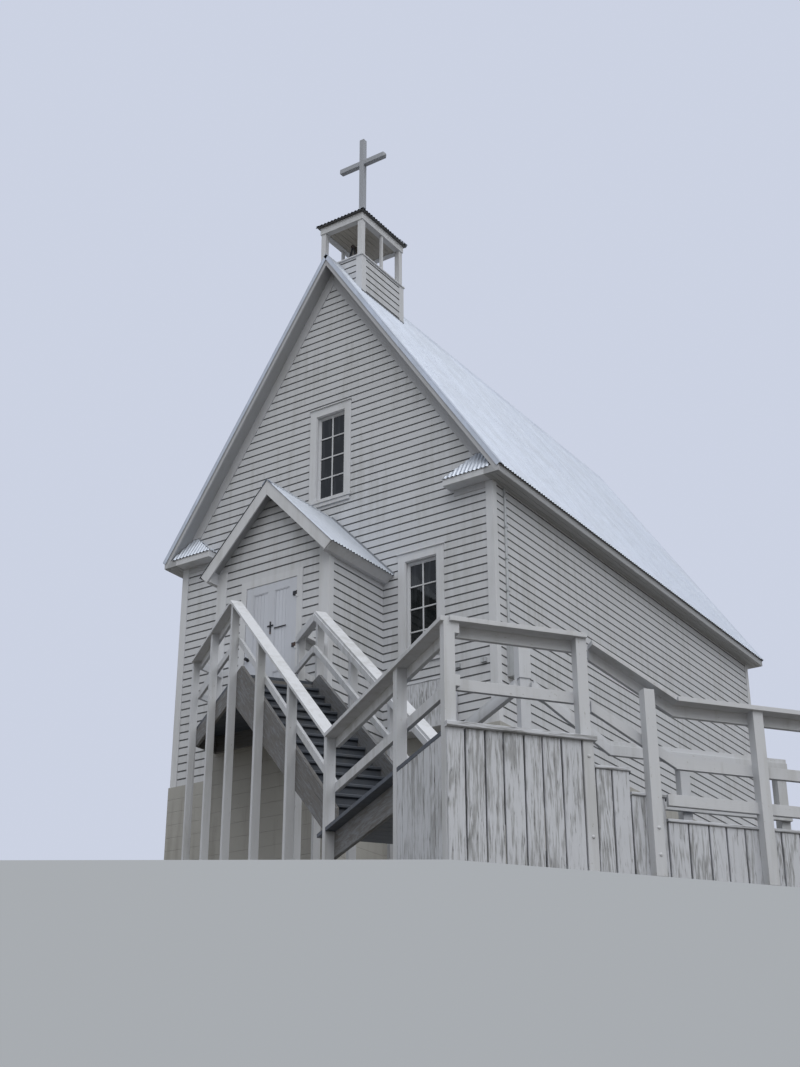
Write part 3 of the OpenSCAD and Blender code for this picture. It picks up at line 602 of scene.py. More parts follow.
FINISHES: dict[Slot, Finish] = {
    Slot.SIDING: PaintedWood("siding_paint", colour=(0.56, 0.575, 0.61), wear=0.12, streaks=0.3),
    Slot.TRIM: PaintedWood("trim_paint", colour=(0.60, 0.615, 0.65), wear=0.1, streaks=0.25),
    Slot.RAILING: PaintedWood("railing_paint_worn", colour=(0.565, 0.58, 0.615), wear=0.5,
                              streaks=0.4, relief=0.0009),
    Slot.WEATHERED: WeatheredPaint("weathered_paint"),
    Slot.DOOR: PaintedWood("door_paint_smooth", colour=(0.55, 0.575, 0.64), wear=0.08,
                           streaks=0.15, roughness=0.42),
    Slot.STAIR: PaintedWood("stair_paint_slate", colour=(0.036, 0.044, 0.058),
                            grime=(0.075, 0.075, 0.072), bare=(0.15, 0.14, 0.125), wear=0.45,
                            streaks=0.4, relief=0.001),
    Slot.FLOOR: PaintedWood("floor_varnish", colour=(0.28, 0.17, 0.085), grime=(0.1, 0.07, 0.05),
                            bare=(0.33, 0.25, 0.17), wear=0.3, roughness=0.4),
    Slot.ROOF: RoofSheet("roof_sheet"),
    Slot.GLASS: Pane("window_pane"),
    Slot.IRON: Iron("fitting_iron"),
    Slot.BELL: Iron("bell_casting", colour=(0.05, 0.048, 0.042), rusted=0.8, metallic=0.6),
    Slot.CONCRETE: Concrete("foundation_concrete"),
    Slot.SERVICE: ServiceMetal("service_enamel"),
}


@dataclass
class Stock:
    """Boards, sheets and turned pieces of one finish, gathered into one mesh."""

    seed: int = 1
    corners: list[Vector] = field(default_factory=list)
    # Corners of each face, with its tone, its painted shade and its grain
    faces: list[tuple[tuple[int, ...], float, float, Vector]] = field(default_factory=list)

    def __post_init__(self) -> None:
        """Starts the stock's own random draws."""
        self.draw = random.Random(self.seed)

    def loft(self, rings: Sequence[Sequence[Vector]], grain: Vector = UP,
             tone: float | None = None, painted_shade: Sequence[float] | float = 0.0) -> None:
        """Adds a closed solid through rings of as many points each.

        Args:
            rings: Cross-sections in order.
            grain: Direction that the wood's grain follows.
            tone: Shade of this board from 0 to 1, drawn if it isn't given.
            painted_shade: How much painted shade each side gets, or all of them.
        """
        count = len(rings[0])
        start = len(self.corners)
        tone = self.draw.random() if tone is None else tone
        sides = [painted_shade] * count if isinstance(painted_shade, (int, float)) else list(painted_shade)
        for ring in rings:
            self.corners.extend(ring)
        for k in range(len(rings) - 1):
            low, high = start + k * count, start + (k + 1) * count
            for i in range(count):
                j = (i + 1) % count
                self.faces.append(((low + i, low + j, high + j, high + i), tone, sides[i], grain))
        last = start + (len(rings) - 1) * count
        # The first and the last ring close the solid
        for loop in (range(start, start + count), range(last + count - 1, last - 1, -1)):
            self.faces.append((tuple(loop), tone, 0.0, grain))

    def board(self, start: Spot, end: Spot, side: Vector, width: float, thick: float,
              arris: float = ARRIS) -> None:
        """Adds a plank with eased long edges.

        Args:
            start: Middle of its first end.
            end: Middle of its other end.
            side: Direction of its width.
            width: Size along side.
            thick: Size square to side and to its length.
            arris: How far its long edges are eased.
        """
        start, end = Vector(start), Vector(end)
        along = (end - start).normalized()
        across = (side - along * side.dot(along)).normalized()
        face = along.cross(across)
        a, b = width / 2, thick / 2
        outline = [(a - arris, b), (a, b - arris), (a, arris - b), (a - arris, -b),
                   (arris - a, -b), (-a, arris - b), (-a, b - arris), (arris - a, b)]
        self.loft([[at + across * x + face * y for x, y in outline] for at in (start, end)],
                  along)

    def block(self, low: Spot, high: Spot, arris: float = ARRIS) -> None:
        """Adds a board that fills a box, its grain along the longest side.

        Args:
            low: The box's least corner.
            high: Its greatest corner.
            arris: How far its long edges are eased.
        """
        low, high = Vector(low), Vector(high)
        middle, size = (low + high) / 2, high - low
        long = max(range(3), key=lambda i: size[i])
        wide = max((i for i in range(3) if i != long), key=lambda i: size[i])
        thin = 3 - long - wide
        reach = Vector()
        reach[long] = size[long] / 2
        side = Vector()
        side[wide] = 1
        self.board(middle - reach, middle + reach, side, size[wide], size[thin],
                   min(arris, size[thin] * 0.3))

    def plank(self, plan: Sequence[Vector], base: float, top: float, grain: Vector,
              tone: float) -> None:
        """Adds a level plank with any four corners and eased top edges.

        Args:
            plan: Its corners in order, seen from above.
            base: Height of its underside.
            top: Height of its face.
            grain: Direction of its grain.
            tone: Its shade from 0 to 1.
        """
        plan = [at for k, at in enumerate(plan) if (at - plan[k - 1]).length > HAIR]
        middle = sum(plan, Vector()) / len(plan)
        ease = [at + (middle - at).normalized() * ARRIS * 1.5 for at in plan]
        self.loft([[Vector((c.x, c.y, z)) for c in ring]
                   for ring, z in ((plan, base), (plan, top - ARRIS), (ease, top))], grain, tone)

    def prism(self, outline: Sequence[Vector], shift: Vector, grain: Vector = UP,
              tone: float | None = None) -> None:
        """Adds a flat outline drawn through a thickness, its face edges a little eased.

        Args:
            outline: Corners of the face in order.
            shift: The thickness as a direction and a size.
            grain: Direction that the wood's grain follows.
            tone: Shade from 0 to 1, drawn if it isn't given.
        """
        middle = sum(outline, Vector()) / len(outline)
        ease = min(ARRIS, shift.length * 0.2)
        small = [c + (middle - c).normalized() * ease for c in outline]
        skin = shift.normalized() * ease
        self.loft([small, [c + skin for c in outline], [c + shift - skin for c in outline],
                   [c + shift for c in small]], grain, tone)

    def dome(self, at: Vector, axis: Vector, radius: float, steps: int = 14) -> None:
        """Adds the round head of a bolt.

        Args:
            at: Middle of its foot.
            axis: Direction that it points in.
            radius: Its radius.
            steps: How many sides it has.
        """
        up = axis.normalized()
        side = up.orthogonal().normalized()
        front = up.cross(side)
        turns = [2 * math.pi * k / steps for k in range(steps)]
        self.loft([[at + up * z + (side * math.cos(t) + front * math.sin(t)) * (radius * share)
                    for t in turns]
                   for share, z in ((1.0, -2 * HAIR), (1.0, radius * 0.12), (0.8, radius * 0.42),
                                    (0.35, radius * 0.6), (0.05, radius * 0.64))], up)

    def piece(self, name: str, slot: Slot, body: Body = Body.CHAPEL,
              replaces: Iterable[str] = (), smooth: float | None = None,
              finish: Finish | None = None) -> None:
        """Makes the gathered solids one object.

        Args:
            name: The object's name.
            slot: Material slot that it takes its finish from.
            body: Moving part that it rides on.
            replaces: Frame nodes that it stands for.
            smooth: Angle in degrees under which its faces shade as one.
            finish: A finish other than the slot's own.
        """
        mesh = bpy.data.meshes.new(name)
        loops, tones, painted_shades, grains = zip(*self.faces)
        mesh.from_pydata([tuple(c) for c in self.corners], [], loops)
        # Each face's tone and its painted shade go onto the mesh as face marks
        for mark, values in (("tone", tones), ("painted_shade", painted_shades)):
            mesh.attributes.new(mark, "FLOAT", "FACE").data.foreach_set("value", values)
        mesh.attributes.new("grain", "FLOAT_VECTOR", "FACE").data.foreach_set(
            "vector", np.array([tuple(g) for g in grains], np.float32).ravel())
        shape = bmesh.new()
        shape.from_mesh(mesh)
        bmesh.ops.recalc_face_normals(shape, faces=shape.faces)
        shape.to_mesh(mesh)
        shape.free()
        if smooth is not None:
            mesh.shade_smooth()
            mesh.set_sharp_from_angle(angle=math.radians(smooth))
        settle(mesh, slot, body, replaces, finish)


def settle(mesh: bpy.types.Mesh, slot: Slot, body: Body, replaces: Iterable[str],
           finish: Finish | None) -> None:
    """Makes a mesh a new piece, dressed and mounted.

    Args:
        mesh: The mesh, which has the piece's name.
        slot: Material slot that it takes its finish from.
        body: Moving part that it rides on.
        replaces: Frame nodes that it stands for.
        finish: A finish other than the slot's own, or None.
    """
    made = bpy.data.objects.new(mesh.name, mesh)
    bpy.context.scene.collection.objects.link(made)
    mesh.materials.clear()
    mesh.materials.append((finish or FINISHES[slot]).material())
    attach(made, body.value)
    if replaces:
        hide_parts(*replaces)
    LOG.info("%s: %d faces on %s", made.name, len(mesh.polygons), body.value)


def dress(node: str, finish: Finish) -> None:
    """Gives a frame node its material and leaves its shape alone.

    Args:
        node: The frame node.
        finish: What it wears.
    """
    slots = frame["nodes"][node].data.materials
    slots.clear()
    slots.append(finish.material())
    LOG.info("%s: dressed in %s", node, finish.name)


def eased(node: str, slot: Slot, width: float = ARRIS, finish: Finish | None = None) -> None:
    """Makes a copy of a frame node whose outer edges are eased, as sawn boards' edges are.

    Args:
        node: The frame node that the copy stands for.
        slot: Material slot of the copy.
        width: How far the edges are eased.
        finish: A finish other than the slot's own.
    """
    shape = bmesh.new()
    shape.from_mesh(frame["nodes"][node].data)
    bmesh.ops.remove_doubles(shape, verts=shape.verts, dist=2.5e-4)
    bmesh.ops.dissolve_limit(shape, angle_limit=math.radians(1.0), verts=shape.verts,
                             edges=shape.edges)
    tone = shape.faces.layers.float.new("tone")
    # Eased copies get no painted shade: the face mark stays at zero
    shape.faces.layers.float.new("painted_shade")
    grain = shape.faces.layers.float_vector.new("grain")
    for face in shape.faces:
        longest = max(face.edges, key=lambda e: e.calc_length())
        face[grain] = (longest.verts[1].co - longest.verts[0].co).normalized()
        face[tone] = 0.5
    # An edge takes a bevel where it and its neighbours are long enough to hold one
    room = {e for e in shape.edges if e.calc_length() > 3.2 * width}
    sharp = [e for e in shape.edges if e in room and e.is_manifold and e.is_convex
             and e.calc_face_angle(0.0) > math.radians(25)
             and all(near in room for corner in e.verts for near in corner.link_edges)]
    bmesh.ops.bevel(shape, geom=sharp, offset=width, segments=2, profile=0.6, affect="EDGES",
                    clamp_overlap=False)
    bmesh.ops.dissolve_degenerate(shape, dist=1e-4, edges=shape.edges)
    mesh = bpy.data.meshes.new(node + "_eased")
    shape.to_mesh(mesh)
    shape.free()
    settle(mesh, slot, Body.CHAPEL, [node], finish)


@dataclass
class Region:
    """A flat shape with holes, measured as (s, t), that boards are cut to."""

    outline: Sequence[Point]
    holes: Sequence[Sequence[Point]] = ()

    def _edges(self) -> Iterable[tuple[Point, Point]]:
        """Every edge of the outline and the holes."""
        for loop in (self.outline, *self.holes):
            yield from zip(loop, [*loop[1:], loop[0]])

    def strips(self, low: float, high: float) -> Iterable[tuple[float, float, list[float]]]:
        """Cuts the shape between two values of t.

        Args:
            low: Lower t.
            high: Upper t.

        Yields:
            The t values of each strip's two edges, and s of its corners: left and right at
            the lower edge, then left and right at the upper one.
        """
        levels = {low, high}
        for (_, ta), _ in self._edges():
            if low < ta < high:
                levels.add(ta)
        order = sorted(levels)
        for ta, tb in zip(order, order[1:]):
            if tb - ta < 1e-4:
                continue
            middle = (ta + tb) / 2
            found = []
            for (s0, t0), (s1, t1) in self._edges():
                if min(t0, t1) < middle < max(t0, t1):
                    slope = (s1 - s0) / (t1 - t0)
                    found.append((s0 + slope * (middle - t0), s0 + slope * (ta - t0),
                                  s0 + slope * (tb - t0)))
            found.sort()
            for left, right in zip(found[::2], found[1::2]):
                yield ta, tb, [left[1], right[1], left[2], right[2]]


@dataclass
class Cladding:
    """Drop siding on one face of a wall: flat courses with a cove under each lip."""

    origin: Vector
    along: Vector
    outward: Vector
    region: Region
    bottom: float
    course: float = 0.12
    proud: float = 0.014
    root: float = 0.004
    cove: float = 0.024
    back: float = 0.003
    gap: float = 0.0008
    reach: float = 4.3
    least: float = 2.2
    stub: float = 0.3
    facets: int = 4

    def profile(self, low: float, high: float) -> list[Point]:
        """Outline of a course's face between two heights over its foot.

        Args:
            low: Lower height.
            high: Upper height.

        Returns:
            Its corners as (out, up).
        """
        full = [(self.proud, 0.0), (self.proud, self.course - self.cove)]
        for k in range(1, self.facets + 1):
            turn = math.pi / 2 * k / self.facets
            full.append((self.root + (self.proud - self.root) * (1 - math.sin(turn)),
                         self.course - self.cove + self.cove * 0.75 * (1 - math.cos(turn))))
        full.append((self.root, self.course))
        outs, ups = zip(*full)
        first, last = (float(np.interp(height, ups, outs)) for height in (low, high))
        inner = [(d, z) for d, z in full if low + 1e-5 < z < high - 1e-5]
        return [(first, low), *inner, (last, high)]

    def lay(self, stock: Stock) -> None:
        """Adds every board of the wall.

        Args:
            stock: Where they go.
        """
        top = max(t for _, t in self.region.outline)
        rows = math.ceil((top - self.bottom) / self.course)
        for row in range(rows):
            foot = self.bottom + row * self.course
            joint = stock.draw.uniform(0.2, 1.0) * self.reach
            for ta, tb, (l0, r0, l1, r1) in self.region.strips(foot, foot + self.course):
                run = max(r0, r1) - min(l0, l1)
                count = math.ceil((run - self.stub - joint) / self.reach) if run > self.least else 0
                cuts = [0.0, *((joint + k * self.reach) / run for k in range(count)), 1.0]
                for c0, c1 in zip(cuts, cuts[1:]):
                    self._board(stock, foot, ta, tb, (l0 + (r0 - l0) * c0, l0 + (r0 - l0) * c1,
                                                     l1 + (r1 - l1) * c0, l1 + (r1 - l1) * c1))

    def _board(self, stock: Stock, foot: float, ta: float, tb: float,
               ends: tuple[float, float, float, float]) -> None:
        """Adds one board, whose ends follow the region's edges.

        Args:
            stock: Where it goes.
            foot: Height of its course's foot.
            ta: Height of its lower edge.
            tb: Height of its upper edge.
            ends: Places of its corners along the wall, the lower two first.
        """
        tb -= self.gap / 2
        face = self.profile(ta - foot, tb - foot)
        outline = [(-self.back, ta - foot), *face, (-self.back, tb - foot)]
        rings = []
        for low, high, pull in ((ends[0], ends[2], self.gap), (ends[1], ends[3], -self.gap)):
            slope = (high - low) / (tb - ta)
            rings.append([self.origin + self.along * (low + slope * (up + foot - ta) + pull)
                          + self.outward * out + UP * (up + foot) for out, up in outline])
        # Cove faces and the underside of each lip get painted shade: the lap's shadow line is
        # painted dark
        cove = self.course - self.cove * 0.95
        painted_shade = [SHADOW if up > cove else 0.0 for _, up in outline[:-1]] + [0.0]
        if ta - foot < 1e-6:
            painted_shade[0] = SHADOW
        stock.loft(rings, self.along, painted_shade=painted_shade)


@dataclass
class Corrugated:
    """A sheet with round corrugations that run down a slope."""

    origin: Vector
    across: Vector
    down: Vector
    pitch: float = 0.068
    depth: float = 0.016
    gauge: float = 0.0014
    lift: float = 0.002
    cover: float = 0.612
    facets: int = 8
    lap: float = 0.5
    lap_lift: float = 0.0012

    def lay(self, stock: Stock, width: float, upper: Reach, lower: Reach,
            rise: float = 0.0) -> None:
        """Covers a slope with sheets side by side.

        Args:
            stock: Where the sheets go.
            width: Size across the corrugations.
            upper: Function of the place across that gives where the sheet starts down the slope.
            lower: The same for where it ends.
            rise: How far the sheets are lifted, for an upper row that laps a lower one.
        """
        normal = self.across.cross(self.down).normalized()
        if normal.z < 0:
            normal = -normal
        sheets = max(1, round(width / self.cover))
        each = width / sheets
        for k in range(sheets):
            start, up = k * each, rise + self.lap_lift * (k % 2)
            end = (k + 1) * each + (self.pitch * self.lap if k < sheets - 1 else 0.0)
            steps = max(2, math.ceil((end - start) / self.pitch * self.facets))
            rings = []
            for i in range(steps + 1):
                a = start + (end - start) * i / steps
                wave = 0.5 - 0.5 * math.cos(2 * math.pi * a / self.pitch)
                high = self.lift + up + self.gauge + self.depth * wave
                b0, b1 = upper(a), max(lower(a), upper(a) + HAIR)
                low = high - self.gauge
                rings.append([self.origin + self.across * a + self.down * b + normal * h
                              for b, h in ((b0, high), (b1, high), (b1, low), (b0, low))])
            # Each sheet's lower end and underside get painted shade, which darkens the scalloped
            # edge seen from below
            stock.loft(rings, self.down, painted_shade=(0.0, SHADOW, 0.85, 0.0))


@dataclass
class Site:
    """Places that many sub-assemblies share, read off the frame's nodes."""

    main_pitch: float = 1.516
    entry_pitch: float = 1.067
    stair_turn: float = 37.0
    stair_x: float = 1.56
    stair_y: float = 2.24
    cap_out: float = 0.032
    post: float = 0.089
    riser: float = 0.183125
    going: float = 0.266
    risers: int = 16
    return_low: float = 0.105
    return_rise: float = 0.375
    return_hip: float = 0.44
    return_len: float = 0.67

    def __post_init__(self) -> None:
        """Reads the boxes of the nodes that the places come from."""
        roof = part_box("nave_roof_right")
        self.floor_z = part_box("chapel_floor")[1].z
        self.wall_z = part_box("foundation")[1].z
        self.half_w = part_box("right_wall")[1].x
        self.nave_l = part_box("back_wall")[1].y
        self.ends = ((0.0, -1), (self.nave_l, 1))
        self.eave_x = roof[1].x
        self.soffit_z = roof[0].z
        self.ridge_z = roof[1].z
        self.roof_front = roof[0].y
        self.roof_back = roof[1].y
        self.rake_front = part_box("gable_boards")[0].y
        self.under_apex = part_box("back_wall")[1].z
        self.entry_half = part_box("entry_wall_right")[1].x
        self.entry_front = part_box("entry_front_right")[0].y
        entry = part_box("entry_roof_right")
        self.entry_ridge_z = entry[1].z
        self.entry_eave_x = entry[1].x
        self.entry_roof_front = entry[0].y
        self.entry_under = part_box("entry_gable_wall")[1].z
        self.landing_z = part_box("door_landing")[1].z
        self.deck_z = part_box("lower_deck")[1].z
        turn = math.radians(self.stair_turn)
        self.stair_origin = Vector((self.stair_x, -self.stair_y, 0))
        self.u = Vector((math.cos(turn), -math.sin(turn), 0))
        self.v = Vector((math.sin(turn), math.cos(turn), 0))
        self.end_u = self.reach_of("deck_skirt", self.u)[1] - self.cap_out
        self.left_v = self.reach_of("lower_deck", self.v)[0]
        self.deck_from, self.deck_u = self.reach_of("lower_deck", self.u)
        self.walk_end = self.reach_of("side_walk", self.v)[1]
        self.side_u = self.reach_of("side_walk", self.u)[0]

    def reach_of(self, node: str, along: Vector) -> tuple[float, float]:
        """Least and greatest place of a node along u or v of the stair."""
        places = [(c.co - self.stair_origin).dot(along) for c in frame["nodes"][node].data.vertices]
        return min(places), max(places)

    def roof_top(self, x: float) -> float:
        """Height of the main roof's top at a distance from the ridge."""
        return self.ridge_z - self.main_pitch * abs(x)

    def under_x(self, z: float) -> float:
        """Distance from the ridge at which the underside of the main roof has a height."""
        return (self.under_apex - z) / self.main_pitch

    def under_z(self, x: float) -> float:
        """Height of the main roof's underside at a distance from the ridge."""
        return self.under_apex - self.main_pitch * x

    def on_stair(self, u: float, v: float, z: float) -> Vector:
        """The point at u down the stair, v across it and a height."""
        return self.stair_origin + self.u * u + self.v * v + UP * z


def rectangle(s0: float, t0: float, s1: float, t1: float) -> list[Point]:
    """The four corners of an upright rectangle."""
    return [(s0, t0), (s1, t0), (s1, t1), (s0, t1)]


def gable(half: float, foot: float, apex: float, pitch: float) -> list[Point]:
    """Outline of a gable wall with a level foot, in X and Z."""
    side = apex - pitch * half
    return [(-half, foot), (half, foot), (half, side), (0, apex), (-half, side)]


def upright(outline: Iterable[Point], y: float, sign: int = 1) -> list[Vector]:
    """An outline in X and Z, stood up at a place along Y and mirrored where sign is -1."""
    return [Vector((sign * x, y, z)) for x, z in outline]


def downhill(sign: int, pitch: float) -> Vector:
    """Direction down one slope of a roof whose ridge runs along Y."""
    return Vector((sign, 0, -pitch)).normalized()


def off_slope(sign: int, pitch: float) -> Vector:
    """Direction square to the same slope, away from the roof."""
    return Vector((sign * pitch, 0, 1)).normalized()


@dataclass(frozen=True)
class Face:
    """One outside face of a wall: the axis that it looks along, its place there and its shape."""

    way: Vector
    sign: int
    place: float
    region: Region


@dataclass
class WallSiding:
    """The siding of the nave, the entry and the belfry's base."""

    site: Site
    window_half: float = 0.2645
    window_low: float = 1.018
    window_high: float = 1.444
    sash: float = 0.042
    head: float = 0.126
    casing: float = 0.06
    tuck: float = 0.02
    door_lap: float = 0.03
    ledge_t: float = 0.028
    dip: float = 0.06

    def build(self) -> None:
        """Makes the siding of each wall."""
        site = self.site
        nave = gable(site.half_w - self.tuck / 2, site.wall_z, site.under_apex, site.main_pitch)
        entry = gable(site.entry_half, site.wall_z, site.entry_under, site.entry_pitch)
        long = Region(rectangle(self.tuck, site.wall_z, site.nave_l - self.tuck, site.soffit_z))
        front = Region(nave, [entry, *self._holes()])
        self._cover("front_siding", 11, [Face(Y_WAY, -1, 0.0, front)])
        self._cover("back_siding", 12, [Face(Y_WAY, 1, site.nave_l, Region(nave))])
        self._cover("right_siding", 13, [Face(X_WAY, 1, site.half_w, long)])
        self._cover("left_siding", 14, [Face(X_WAY, -1, -site.half_w, long)])
        low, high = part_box("door_frame")
        door = rectangle(low.x + self.door_lap, site.wall_z, high.x - self.door_lap,
                         high.z - self.door_lap)
        flank = Region(rectangle(site.entry_front + self.tuck, site.wall_z, -2 * HAIR, entry[2][1]))
        self._cover("entry_siding", 15, [Face(Y_WAY, -1, site.entry_front, Region(entry, [door])),
                                         Face(X_WAY, 1, site.entry_half, flank),
                                         Face(X_WAY, -1, -site.entry_half, flank)])
        low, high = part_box("belfry_posts")
        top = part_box("belfry_base")[1].z - self.ledge_t
        foot = site.roof_top(high.x)
        end = Region([(-high.x, foot), (0, site.ridge_z), (high.x, foot), (high.x, top),
                      (-high.x, top)])
        side = Region(rectangle(low.y, foot, high.y, top))
        self._cover("belfry_siding", 16, [Face(Y_WAY, -1, low.y, end), Face(Y_WAY, 1, high.y, end),
                                          Face(X_WAY, 1, high.x, side),
                                          Face(X_WAY, -1, -high.x, side)], foot - self.dip)

    def _holes(self) -> list[list[Point]]:
        """Holes of the front's three windows, hidden under their casings.

        Returns:
            Their outlines in X and Z.
        """
        half = self.window_half + self.casing
        low_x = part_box("window_glass")[1].x - (self.window_half - self.sash)
        low_z = self.site.floor_z + self.window_low - self.casing / 2
        up_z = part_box("window_frames")[1].z - self.head - self.window_high - self.casing / 2
        return [rectangle(x - half, z, x + half, z + self.window_high + self.casing)
                for x, z in ((low_x, low_z), (-low_x, low_z), (0.0, up_z))]

    def _cover(self, name: str, seed: int, faces: Sequence[Face],
               foot: float | None = None) -> None:
        """Makes one piece of siding.

        Args:
            name: The piece's name.
            seed: Seed of its random draws.
            faces: What it covers, in order.
            foot: Height at which its courses start, the walls' foot unless it is given.
        """
        stock = Stock(seed=seed)
        for face in faces:
            along = X_WAY if face.way is Y_WAY else Y_WAY
            Cladding(face.way * face.place, along, face.way * face.sign, face.region,
                     self.site.wall_z if foot is None else foot).lay(stock)
        stock.piece(name, Slot.SIDING)


@dataclass
class MainRoof:
    """Corrugated sheets of the main roof, with the rake and ridge flashings."""

    site: Site
    eave_in: float = 0.032
    front_out: float = 0.012
    lap_at: float = 2.9
    lap: float = 0.15
    row_lift: float = 0.0026
    lift: float = 0.018
    rake_out: float = 0.006
    rake_wing: float = 0.11
    rake_drop: float = 0.05
    ridge_wing: float = 0.16
    ridge_bend: float = 0.03
    ridge_lifts: Point = (0.0336, 0.0312)
    gap: float = 0.02

    def build(self) -> None:
        """Makes both slopes and their flashings."""
        site = self.site
        length = site.eave_x * math.hypot(1, site.main_pitch)
        front = site.rake_front - self.front_out
        back = site.nave_l - site.rake_front - HAIR / 2
        for name, sign, seed in (("roof_sheets_right", 1, 21), ("roof_sheets_left", -1, 22)):
            stock = Stock(seed=seed)
            sheet = Corrugated(Vector((0, front, site.ridge_z)), Y_WAY,
                               downhill(sign, site.main_pitch))
            sheet.lay(stock, back - front, lambda a: self.lap_at - self.lap,
                      lambda a: length - self.eave_in)
            sheet.lay(stock, back - front, lambda a: self.gap, lambda a: self.lap_at,
                      self.row_lift)
            stock.piece(name, Slot.ROOF, smooth=40)
        self._flashing(length - self.eave_in * 1.2, front, back)

    def _flashing(self, length: float, front: float, back: float) -> None:
        """Bent strips over the rake edges and a rolled cap over the ridge.

        Args:
            length: How far the strips run down the slope.
            front: Place of the front edge along Y.
            back: Place of the back edge.
        """
        site = self.site
        stock = Stock(seed=23)
        out, inner, under = self.rake_out, self.rake_out - STRIP, self.lift - STRIP
        section = [(-self.rake_wing, self.lift), (out, self.lift), (out, -self.rake_drop),
                   (inner, -self.rake_drop), (inner, under), (-self.rake_wing, under)]
        for sign in (1, -1):
            down, normal = downhill(sign, site.main_pitch), off_slope(sign, site.main_pitch)
            for y, way in ((front + out, -1), (back - out, 1)):
                edge = Vector((0, y, site.ridge_z))
                stock.loft([[edge + down * b + Y_WAY * (way * s) + normal * h for s, h in section]
                            for b in (0.0, length)], down)
        low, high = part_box("belfry_posts")
        half = [(-self.ridge_wing, 0.0), (-self.ridge_bend, 0.0), (0.0, -self.lift),
                (self.ridge_bend, 0.0), (self.ridge_wing, 0.0)]
        cap = [(x, site.roof_top(x) + dip + lift)
               for lift, row in zip(self.ridge_lifts, (half, half[::-1])) for x, dip in row]
        for y0, y1 in ((front, low.y - self.gap), (high.y + self.gap, back)):
            stock.loft([upright(cap, y) for y in (y0, y1)], Y_WAY)
        stock.piece("roof_flashings", Slot.ROOF)


